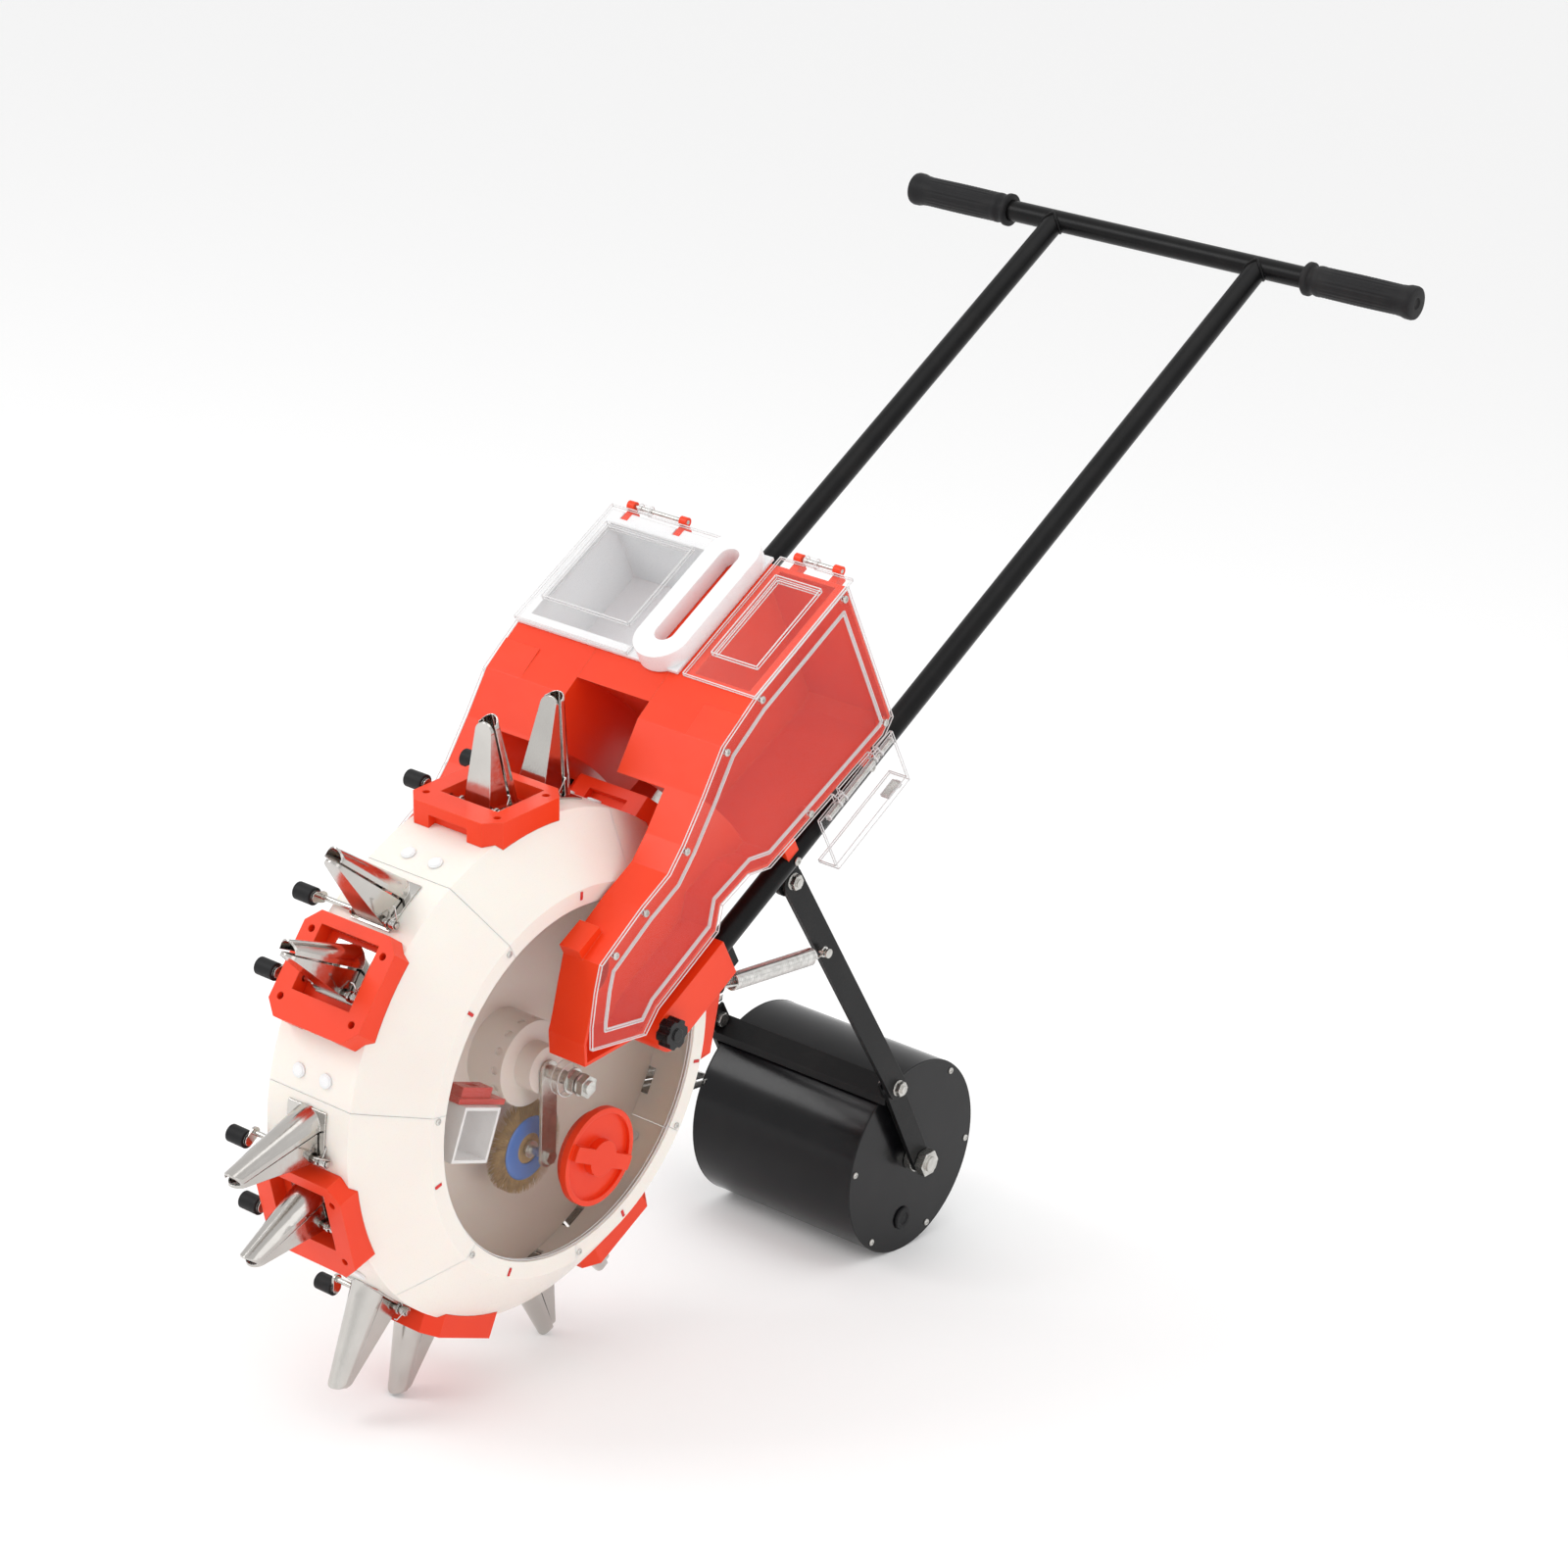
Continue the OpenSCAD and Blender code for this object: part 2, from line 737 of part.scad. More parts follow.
// Round orange cap with a finger ridge; its neck turns inside the window's hole.
module drain_cap() {
    face = window_out + rest_gap;
    neck = cap_r - 6.3;
    color("#f03c1e") placed() at(cap_at) {
        difference() {
            union() {
                rod_x(neck, window_x - 5, face + 1);
                rod_x(cap_r, face, face + 7);
            }
            pipe_x(cap_r - 5, 0.01, face + 3, face + 8);
            rod_x(neck - 3, window_x - 6, face - 1);
        }
        intersection() {
            rod_x(cap_r - 5, face + 2, face + 12);
            slab(face + 2, face + 12) union() {
                circle(r = 17);
                rotate(70) translate([-7, 0]) square([14, cap_r]);
                rotate(250) translate([-7, 0]) square([14, cap_r]);
            }
        }
    }
}

// White outlet box behind the window, open towards the front and the back.
module feed_box() {
    color("#f2efe8") placed() at(feed_at) rotate([feed_tilt, 0, 0]) difference() {
        translate([48, -24, -26]) cube([window_x - 48 - rest_gap, 48, 50]);
        translate([51, -21, -23]) cube([80, 42, 44]);
        translate([40, -12, -14]) cube([20, 24, 28]);
    }
}

// Red plate that slides on top of the outlet box and sets the rate.
module rate_slider() {
    color("#d8140c") placed() at(feed_at) rotate([feed_tilt, 0, 0]) difference() {
        union() {
            translate([56, -26, 24.4]) cube([24, 62, 5]);
            translate([60, -20, 29.4]) cube([16, 40, 9]);
        }
        translate([64, -6, 20]) cube([8, 12, 30]);
    }
}

// Strap that hangs from the fixed axle and carries the bristle wheel's pin.
module brush_hanger() {
    strap_x = hub_half + 1.5;
    color("silver") placed() spoke(brush_angle) difference() {
        union() {
            slab(strap_x, strap_x + 3) bar_2d([0, 0], [brush_c, 0], 20);
            at([brush_c, 0]) {
                rod_x(brush_pin_r, brush_x[0] - 6, strap_x + 1);
                rod_x(8, brush_x[0] - 9, brush_x[0] - 5);
                rod_x(8, brush_x[1] + 1, brush_x[1] + 4);
                hex_x(12, strap_x + 3, strap_x + 7);
            }
        }
        rod_x(axle_r + eps, strap_x - 1, strap_x + 4);
    }
}

module brush_wheel() {
    color("#b98a3c") placed() spoke(brush_angle) at([brush_c, 0]) {
        difference() {
            rod_x(brush_r, brush_x[0], brush_x[1]);
            rod_x(brush_pin_r + run_fit, brush_x[0] - 1, brush_x[1] + 1);
        }
    }
}

// ---------------------------------------------------------------- drum

// Outer surface of the drum as a solid of revolution, grown by g.
module drum_envelope(g) {
    lathe() polygon([
        [0, -flank_half - g], [flank_r + g / 2, -flank_half - g],
        [bevel_r + g, -bevel_half - g / 2], [tread_r + g, -tread_half - g / 2],
        [tread_r + g, tread_half + g / 2], [bevel_r + g, bevel_half + g / 2],
        [flank_r + g / 2, flank_half + g], [0, flank_half + g]
    ]);
}

module segment_section() {
    w = drum_wall;
    polygon([
        [rim_r, -flank_half], [flank_r, -flank_half], [bevel_r, -bevel_half], [tread_r, -tread_half],
        [tread_r, tread_half], [bevel_r, bevel_half], [flank_r, flank_half], [rim_r, flank_half],
        [rim_r, flank_half - w], [flank_r - 0.45 * w, flank_half - w],
        [bevel_r - 1.1 * w, bevel_half - 0.6 * w],
        [tread_r - w, tread_half - 0.4 * w], [tread_r - w, -tread_half + 0.4 * w],
        [bevel_r - 1.1 * w, -bevel_half + 0.6 * w],
        [flank_r - 0.45 * w, -flank_half + w], [rim_r, -flank_half + w]
    ]);
}

module drum_segment() {
    difference() {
        spoke(seam_gap / 2) lathe(seam_step - seam_gap) segment_section();
        for (phase = [bare_phase, seed_phase])
            spoke(phase) translate([-11, tread_r - 10, -16]) cube([22, 20, 26]);
        for (x = [-plug_x, plug_x])
            spoke(plug_phase) translate([x, tread_r - 10, 0]) rotate([-90, 0, 0]) cylinder(r = 5.1, h = 20);
        both_sides() spoke(1.3) translate([0, seam_screw_r, 0]) rod_x(1.7, 80, 100);
        both_sides() spoke(mark_phase) translate([80, mark_r - 4, -1.6]) cube([20, 8, 3.2]);
    }
}

module drum_segments() {
    color("#f3ece4") placed() for (k = [0 : segment_count - 1])
        spoke(seam_angle(k)) drum_segment();
}

// Hub with the metering wheel on both sides of the web that splits the drum in two.
module drum_hub() {
    web = 3;
    pockets = 14;
    color("#e9e2d8") placed() difference() {
        union() {
            rod_x(meter_r, -42, 42);
            rod_x(tread_r - drum_wall - 0.1, -web, web);
            rod_x(22, -hub_half, hub_half);
        }
        rod_x(axle_r + run_fit, -90, 90);
        for (k = [0 : pockets - 1])
            both_sides() spoke(k * 360 / pockets)
                translate([34, meter_r - 2, 0]) rotate([-90, 0, 0]) cylinder(r = 3.5, h = 5);
    }
}

// Orange saddle that rides on the tread around each seed mouth.
module saddle_block() {
    top_r = 251;
    t0 = -39;
    t1 = 59;
    corner = 13;
    difference() {
        translate([0, top_r - 34, 0]) rotate([-90, 0, 0]) mirror([0, 1, 0]) linear_extrude(34) polygon([
            [-block_half, t0 + corner], [-block_half + corner, t0], [block_half - corner, t0],
            [block_half, t0 + corner], [block_half, t1 - corner], [block_half - corner, t1],
            [-block_half + corner, t1], [-block_half, t1 - corner]
        ]);
        drum_envelope(rest_gap);
        translate([-33, 200, -28]) cube([66, 80, 60]);
        translate([0, hinge_r, seed_hinge_t]) rod_x(shaft_r + 1, -90, 0);
        for (x = [-41, 41], t = [-21, 41])
            translate([x, 200, t]) rotate([-90, 0, 0]) cylinder(r = 3.4, h = 80);
        translate([-22, 200, t1 - 8]) cube([44, tread_r + 5 - 200, 20]);
    }
}

module saddle_blocks() {
    color("#f4381a") placed() for (k = [0 : segment_count - 1])
        spoke(seam_angle(k) + seed_phase) saddle_block();
}

// Silhouette of a mouth seen along the drum's turning direction: width against radius.
module tongue_2d(tip_r, shrink) {
    r = beak_tip - shrink;
    translate([0, tip_r - beak_tip]) circle(r = r);
    polygon([
        [-beak_root + shrink, tread_r - 4], [beak_root - shrink, tread_r - 4],
        [r * 0.996, tip_r - beak_tip], [-r * 0.996, tip_r - beak_tip]
    ]);
}

module tongue(tip_r, shrink) {
    translate([0, 0, 40]) mirror([0, 0, 1]) linear_extrude(80) tongue_2d(tip_r, shrink);
}

// Fixed half of a mouth: a tapered half-round spout on a base plate with two hinge ears.
module beak(tip_r, lean_t, hinge_t) {
    run = tip_r - tread_r;
    rise = beak_tip - lean_t;
    len_c = norm([run, rise]);
    tilt = atan(rise / run);
    ear_x = 19;
    cone_r = beak_root + 0.45;
    intersection() {
        translate([0, tread_r, lean_t]) rotate([tilt, 0, 0]) rotate([-90, 0, 0]) difference() {
            translate([0, 0, -6]) cylinder(r1 = cone_r, r2 = beak_tip, h = len_c + 6);
            translate([0, 0, -7]) cylinder(r1 = cone_r - sheet, r2 = beak_tip - sheet, h = len_c + 8);
            translate([-40, -60, -10]) cube([80, 60, len_c + 20]);
        }
        tongue(tip_r, 0);
        difference() {
            translate([-40, 0, -60]) cube([80, 400, 100]);
            rod_x(tread_r + rest_gap, -50, 50);
        }
    }
    difference() {
        union() {
            intersection() {
                pipe_x(tread_r + 2, tread_r + rest_gap, -22, 22);
                translate([-22, 200, lean_t - 17]) cube([44, 80, hinge_t - lean_t + 23]);
            }
            both_sides() slab(ear_x, ear_x + 2) union() {
                translate([hinge_r, hinge_t]) circle(r = 5);
                translate([tread_r + 1, hinge_t - 5]) square([hinge_r - tread_r - 1, 10]);
            }
        }
        at([hinge_r, hinge_t]) rod_x(shaft_r + run_fit, -40, 40);
        translate([-11, 200, -16]) cube([22, 80, 26]);
    }
}

module mouth_beaks() {
    color("#b8b4ae") placed() for (k = [0 : segment_count - 1]) {
        spoke(seam_angle(k) + bare_phase) beak(bare_tip_r, bare_lean_t, bare_hinge_t);
        spoke(seam_angle(k) + seed_phase) beak(seed_tip_r, seed_lean_t, seed_hinge_t);
    }
}

// Torsion spring on the free end of a flap's shaft.
module mouth_spring(hinge_t) {
    at([hinge_r, hinge_t]) pipe_x(shaft_r + 2, shaft_r + 0.4, 22.3, 29);
}

module mouth_springs() {
    color("silver") placed() for (k = [0 : segment_count - 1]) {
        spoke(seam_angle(k) + bare_phase) mouth_spring(bare_hinge_t);
        spoke(seam_angle(k) + seed_phase) mouth_spring(seed_hinge_t);
    }
}

// Moving half of a mouth: a folded wedge on a shaft, with a rubber roller on the shaft's
// arm at the drum's left side that opens the mouth when it meets the ground.
module flap(tip_r, lean_t, hinge_t) {
    top = tip_r - 3;
    front = hinge_t + 3.5;
    gap = 0.6;
    root = hinge_r - 1.9;
    barrel_r = shaft_r + 0.3;
    ridge_t = beak_tip + 2.6;
    difference() {
        union() {
            intersection() {
                slab(-20, 20)
                    polygon([[root, front], [top, ridge_t], [top, beak_tip + gap], [root, lean_t + 3]]);
                tongue(tip_r - 3, 1);
            }
            at([hinge_r, hinge_t]) rod_x(barrel_r, -15, 15);
        }
        intersection() {
            slab(-20, 20) polygon([
                [root - 1, front - sheet], [top, ridge_t - sheet],
                [top, beak_tip - 20], [root - 1, lean_t - 20]
            ]);
            tongue(tip_r - 3, 1 + sheet);
            difference() {
                translate([-30, 200, -60]) cube([60, 200, 120]);
                at([hinge_r, hinge_t]) rod_x(barrel_r, -16, 16);
            }
        }
    }
    at([hinge_r, hinge_t]) {
        rod_x(shaft_r, -roller_arm_x, -14);
        rod_x(shaft_r, 14, 30);
    }
    slab(-roller_arm_x - 2.5, -roller_arm_x) bar_2d([hinge_r, hinge_t], [hinge_r + 7, hinge_t + 5], 10);
    at([hinge_r + 7, hinge_t + 5]) {
        rod_x(2.5, -roller_arm_x - 2.5 - finger_len - 1, -roller_arm_x - 2);
        pipe_x(finger_r, 2.5 + eps, -roller_arm_x - 2.5 - finger_len, -roller_arm_x - 2.6);
    }
}

module flap_bare(k) {
    color("#a8a49c") placed() spoke(seam_angle(k - 1) + bare_phase)
        flap(bare_tip_r, bare_lean_t, bare_hinge_t);
}

module flap_seed(k) {
    color("#a8a49c") placed() spoke(seam_angle(k - 1) + seed_phase)
        flap(seed_tip_r, seed_lean_t, seed_hinge_t);
}

module drum_plugs() {
    color("white") placed() for (k = [0 : segment_count - 1], x = [-plug_x, plug_x])
        spoke(seam_angle(k) + plug_phase) translate([x, 0, 0]) rotate([-90, 0, 0]) {
            translate([0, 0, tread_r - 5]) cylinder(r = 5, h = 7);
            translate([0, 0, tread_r + rest_gap]) cylinder(r = 6.5, h = 1.6);
        }
}

// Screws beside each seam and the red nut pads beside each seed mouth.
module segment_screws() {
    color("silver") placed() for (k = [0 : segment_count - 1]) both_sides() {
        spoke(seam_angle(k) + 1.3) translate([0, seam_screw_r, 0]) {
            rod_x(1.6, flank_half - 6, flank_half);
            rod_x(3, flank_half, flank_half + 2);
        }
        spoke(seam_angle(k) + mark_phase) translate([flank_half - 3, mark_r - 3.9, -1.5]) cube([4, 7.8, 3]);
    }
}

// ---------------------------------------------------------------- press roller

module arm_struts() {
    color("#141414") leaned() both_sides() difference() {
        slab(strut_x, strut_x + arm_t) bar_2d(pivot, link_c, arm_w);
        at(pivot) rod_x(bolt_r + run_fit, 100, 130);
        at(link_c) rod_x(bolt_r + eps, 100, 130);
        at(spring_low) rod_x(2.4 + eps, 100, 130);
    }
}

module arm_links() {
    color("#141414") leaned() both_sides() difference() {
        slab(link_x, link_x + arm_t) bar_2d(link_c, roller_c, arm_w - 1);
        at(link_c) rod_x(bolt_r + eps, 90, 130);
        at(roller_c) rod_x(roller_axle_r + eps, 90, 130);
    }
}

// Cross member with the blade that scrapes the roller clean.
module scraper() {
    tab_x = link_x - 0.1;
    blade_gap = 2.5;
    low = roller_c[1] + roller_r + blade_gap;
    shelf = low + 4;
    plate = 2.5;
    color("#181818") leaned() difference() {
        union() {
            slab(-tab_x, tab_x) translate([link_c[0] - 12, shelf]) square([24, plate]);
            slab(-tab_x, tab_x) polygon([
                [link_c[0] - 12, shelf + plate], [link_c[0] - 12, shelf],
                [link_c[0] - 14, low], [link_c[0] - 16, low]
            ]);
            both_sides() slab(tab_x - 3, tab_x) translate([link_c[0] - 12, shelf])
                square([24, link_c[1] - shelf + 12]);
        }
        at(link_c) rod_x(bolt_r + eps, -130, 130);
    }
}

// Spring of one side: a close-wound body with an eye at each end.
module tension_spring() {
    d = spring_low - spring_top;
    reach = norm(d);
    wire = 1.3;
    eye = 4.3;
    lead = (reach - spring_len) / 2;
    translate([spring_x, spring_top[0], spring_top[1]]) rotate([atan2(d[1], d[0]), 0, 0]) {
        translate([0, lead, 0]) rotate([-90, 0, 0]) difference() {
            cylinder(r = spring_r, h = spring_len);
            translate([0, 0, -1]) cylinder(r = spring_r - 2.6, h = spring_len + 2);
        }
        for (end = [0, reach]) {
            near = end == 0 ? eye : reach - lead - 1;
            translate([0, end, 0]) rotate([0, 90, 0]) rotate_extrude()
                translate([eye, 0]) circle(r = wire, $fn = 24);
            translate([0, near, 0]) rotate([-90, 0, 0]) cylinder(r = wire, h = lead - eye + 1);
        }
        for (y = [lead, reach - lead - 2])
            translate([0, y, 0]) rotate([-90, 0, 0]) cylinder(r = spring_r - 2, h = 2);
    }
}

module tension_springs() {
    color("silver") leaned() both_sides() tension_spring();
}

// Pivot bolts, link bolts and the pins that hold the springs' lower eyes.
module arm_bolts() {
    color("silver") leaned() both_sides() {
        at(pivot) {
            rod_x(bolt_r, link_x - 6, strut_x + arm_t + 8);
            hex_x(13, strut_x + arm_t + 0.6, strut_x + arm_t + 6);
            rod_x(8, strut_x + arm_t, strut_x + arm_t + 0.6);
        }
        at(link_c) {
            rod_x(bolt_r, link_x - 3, strut_x + arm_t + 8);
            hex_x(13, strut_x + arm_t + 0.6, strut_x + arm_t + 6);
            rod_x(8, strut_x + arm_t, strut_x + arm_t + 0.6);
            hex_x(13, link_x - 8.5, link_x - 3.2);
        }
        at(spring_low) {
            rod_x(2.4, strut_x, spring_x + 4);
            rod_x(4.5, spring_x + 4, spring_x + 6);
        }
    }
}

// Welded roller shell with two end plates, bores and a filler hole for ballast.
module press_roller() {
    half = roller_len / 2;
    wall = 3;
    color("#0c0c0e") leaned() at(roller_c) difference() {
        rod_x(roller_r, -half, half);
        rod_x(roller_r - wall, -half + wall, half - wall);
        rod_x(roller_axle_r + run_fit, -half - 1, half + 1);
        rotate([-lean, 0, 0]) at(filler_at) rod_x(filler_r, half - wall - 1, half + 1);
    }
}

// End-plate screws, and the rubber plug in the filler hole.
module roller_screws() {
    half = roller_len / 2;
    color("silver") leaned() at(roller_c) {
        both_sides() for (k = [0 : 5])
            rotate([57.6 - lean + k * 60, 0, 0]) translate([0, roller_r - 7, 0]) rod_x(3.4, half, half + 2);
        rotate([-lean, 0, 0]) at(filler_at) {
            rod_x(filler_r - rest_gap, half - 6, half);
            rod_x(filler_r + 4, half, half + 3);
        }
    }
}

module roller_axle() {
    half = roller_len / 2;
    color("silver") leaned() at(roller_c) {
        rod_x(roller_axle_r, -strut_x - 12, strut_x + 12);
        both_sides() {
            rod_x(13, half + 0.6, link_x - 0.1);
            hex_x(24, strut_x + 0.1, strut_x + 9);
        }
    }
}

handle_tube_right();
handle_tube_left();
handle_crossbar();
grip_right();
grip_left();
drum_axle();
axle_nuts();
hopper_right();
hopper_left();
hopper_bridge();
seed_container();
side_cover_right();
side_cover_left();
tube_bracket_right();
tube_bracket_left();
side_window_right();
side_window_left();
feed_box();
brush_hanger();
hinge_pins();
frame_screws();
arm_lugs();
lid_right();
lid_left();
door_right();
door_left();
drain_cap();
rate_slider();
brush_wheel();
knob_right();
knob_left();
drum_segments();
drum_hub();
saddle_blocks();
mouth_beaks();
mouth_springs();
drum_plugs();
segment_screws();
flap_bare(1);  // flap_bare_1
flap_bare(2);  // flap_bare_2
flap_bare(3);  // flap_bare_3
flap_bare(4);  // flap_bare_4
flap_bare(5);  // flap_bare_5
flap_bare(6);  // flap_bare_6
flap_bare(7);  // flap_bare_7
flap_seed(1);  // flap_seed_1
flap_seed(2);  // flap_seed_2
flap_seed(3);  // flap_seed_3
flap_seed(4);  // flap_seed_4
flap_seed(5);  // flap_seed_5
flap_seed(6);  // flap_seed_6
flap_seed(7);  // flap_seed_7
arm_struts();
arm_links();
scraper();
tension_springs();
arm_bolts();
press_roller();
roller_axle();
roller_screws();
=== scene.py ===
"""Looks of a hand-push dibble-wheel seeder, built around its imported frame.

Everything is in metres in the part's frame: -Y is forward travel, +Z is up, z = 0 is the ground.
"""
from __future__ import annotations

import logging
import random
from dataclasses import dataclass, field
from enum import Enum
from math import asin, atan, cos, degrees, hypot, pi, radians, sin, sqrt
from typing import Callable, ClassVar, Iterable, Sequence

import bmesh
import bpy
from bpy.types import Material, NodeSocket, NodeTree, Object
from mathutils import Euler, Matrix, Vector

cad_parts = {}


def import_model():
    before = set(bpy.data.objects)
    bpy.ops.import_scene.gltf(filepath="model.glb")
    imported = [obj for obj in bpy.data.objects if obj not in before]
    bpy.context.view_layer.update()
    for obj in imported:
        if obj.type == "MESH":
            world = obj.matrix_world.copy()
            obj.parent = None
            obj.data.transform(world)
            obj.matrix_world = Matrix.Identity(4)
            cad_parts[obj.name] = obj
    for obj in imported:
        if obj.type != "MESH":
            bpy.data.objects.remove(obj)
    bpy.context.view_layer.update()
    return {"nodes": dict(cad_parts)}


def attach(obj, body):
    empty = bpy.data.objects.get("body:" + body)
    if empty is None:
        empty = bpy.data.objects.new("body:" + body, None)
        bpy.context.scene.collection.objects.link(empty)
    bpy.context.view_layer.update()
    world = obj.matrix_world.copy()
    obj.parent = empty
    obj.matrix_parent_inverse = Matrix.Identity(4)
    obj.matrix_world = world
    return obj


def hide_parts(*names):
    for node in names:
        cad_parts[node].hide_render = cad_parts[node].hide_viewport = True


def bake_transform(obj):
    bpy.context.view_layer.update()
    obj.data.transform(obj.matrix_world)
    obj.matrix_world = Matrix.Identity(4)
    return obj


LOG = logging.getLogger("seeder")
MM = 0.001
MERGE_DISTANCE = 1e-7
EDGE_MERGE_DISTANCE = 1e-6
SIDES = ((1, "right"), (-1, "left"))
Pair = tuple[float, float]
Triple = tuple[float, float, float]
Box = tuple[float, float, float, float]
Chain = list[Vector]


# --- places

@dataclass(frozen=True)
class Layout:
    """Places of the machine's parts, from the same sizes as the CAD, in millimetres and degrees."""

    lean: float = 36.0
    segments: int = 7
    bare_tip: float = 328.2
    seed_tip: float = 322.0
    bare_phase: float = 9.3
    seed_phase: float = 24.4
    beak_tip: float = 10.0
    hinge_r: float = 241.0
    bare_hinge: float = 13.0
    seed_hinge: float = 19.0
    handle_reach: float = 1129.0
    tube_x: float = 122.9
    tube_r: float = 11.0
    grip_half: float = 17.0
    roller_u: float = 312.5
    roller_r: float = 101.0
    roller_half: float = 98.7
    spring_x: float = 123.5
    spring_top: Pair = (159.0, -35.0)
    spring_low: Pair = (288.0, -130.0)

    @property
    def step(self) -> float:
        """Angle from one seam to the next."""
        return 360.0 / self.segments

    @property
    def rest_turn(self) -> float:
        """Angle by which the lowest mouth stands off the vertical when the drum is parked."""
        rim = hypot(self.seed_tip, self.beak_tip)
        rim_angle = self.seed_phase + degrees(atan(self.beak_tip / self.seed_tip))
        gamma = radians(self.step + self.bare_phase - rim_angle)
        return degrees(atan((self.bare_tip / rim - cos(gamma)) / sin(gamma)))

    @property
    def axle_z(self) -> float:
        """Height of the drum axle."""
        return self.bare_tip * cos(radians(self.rest_turn))

    @property
    def mid_y(self) -> float:
        """Middle of the machine's length, measured from the axle."""
        front = -self.bare_tip * cos(radians(180 - self.seam(1) - self.bare_phase))
        rear = self.handle_reach * cos(radians(self.lean)) + self.grip_half
        return (front + rear) / 2

    def seam(self, k: int) -> float:
        """Angle of seam k around the axle."""
        return 270 + self.rest_turn - self.bare_phase + (k - 3) * self.step

    def axle(self, x: float, y: float, z: float) -> Vector:
        """Point given from the axle, in metres in the part's frame."""
        return Vector((x, y - self.mid_y, z + self.axle_z)) * MM

    def leaned(self, x: float, u: float, v: float) -> Vector:
        """Point given along and across the handle, in metres in the part's frame."""
        c, s = cos(radians(self.lean)), sin(radians(self.lean))
        return self.axle(x, u * c - v * s, u * s + v * c)

    def around(self, x: float, r: float, t: float, angle: float) -> Vector:
        """Point at radius r and offset t on the spoke at that angle."""
        c, s = cos(radians(angle)), sin(radians(angle))
        return self.axle(x, r * c - t * s, r * s + t * c)

    @property
    def roller_v(self) -> float:
        """Second leaned coordinate of the press roller's centre."""
        lean = radians(self.lean)
        return (self.roller_r - self.axle_z - self.roller_u * sin(lean)) / cos(lean)

    @property
    def roller_centre(self) -> Vector:
        """Centre of the press roller, in metres in the part's frame."""
        return self.leaned(0, self.roller_u, self.roller_v)

    def mouths(self) -> list[Pair]:
        """Angle and hinge offset of all fourteen mouths."""
        rows = []
        for k in range(self.segments):
            rows.append((self.seam(k) + self.bare_phase, self.bare_hinge))
            rows.append((self.seam(k) + self.seed_phase, self.seed_hinge))
        return rows


LAYOUT = Layout()


# --- materials

class NodeBook:
    """Adds nodes to one tree and joins their sockets."""

    def __init__(self, tree: NodeTree) -> None:
        """Keeps the tree that nodes are added to."""
        self.tree = tree

    def add(self, kind: str, inputs: dict | None = None, **settings: object) -> bpy.types.Node:
        """Adds a node.

        Args:
            kind: Blender's name for the node type.
            inputs: Value or source socket for each input, by name or index.
            **settings: Properties of the node.

        Returns:
            The new node.
        """
        node = self.tree.nodes.new(kind)
        for key, value in settings.items():
            setattr(node, key, value)
        for key, value in (inputs or {}).items():
            if isinstance(value, NodeSocket):
                self.tree.links.new(value, node.inputs[key])
            else:
                node.inputs[key].default_value = value
        return node

    def noise(self, where: NodeSocket, scale: float, detail: float) -> NodeSocket:
        """Noise on a surface."""
        inputs = {"Vector": where, "Scale": scale, "Detail": detail}
        return self.add("ShaderNodeTexNoise", inputs).outputs["Fac"]

    def remap(self, value: NodeSocket, low: float, high: float, start: float = 0.0,
              end: float = 1.0) -> NodeSocket:
        """Value taken from one range, low to high, to another, start to end."""
        inputs = {"Value": value, "From Min": low, "From Max": high, "To Min": start, "To Max": end}
        return self.add("ShaderNodeMapRange", inputs).outputs[0]

    def mix(self, share: NodeSocket, first: object, second: object) -> NodeSocket:
        """Two colours mixed by a share of the second."""
        return self.add("ShaderNodeMix", {0: share, 6: first, 7: second}, data_type="RGBA").outputs[2]

    def bump(self, height: NodeSocket, normal: NodeSocket, depth: float) -> NodeSocket:
        """Bump of a depth in metres on top of a normal."""
        inputs = {"Height": height, "Normal": normal, "Strength": 1.0, "Distance": depth}
        return self.add("ShaderNodeBump", inputs).outputs[0]


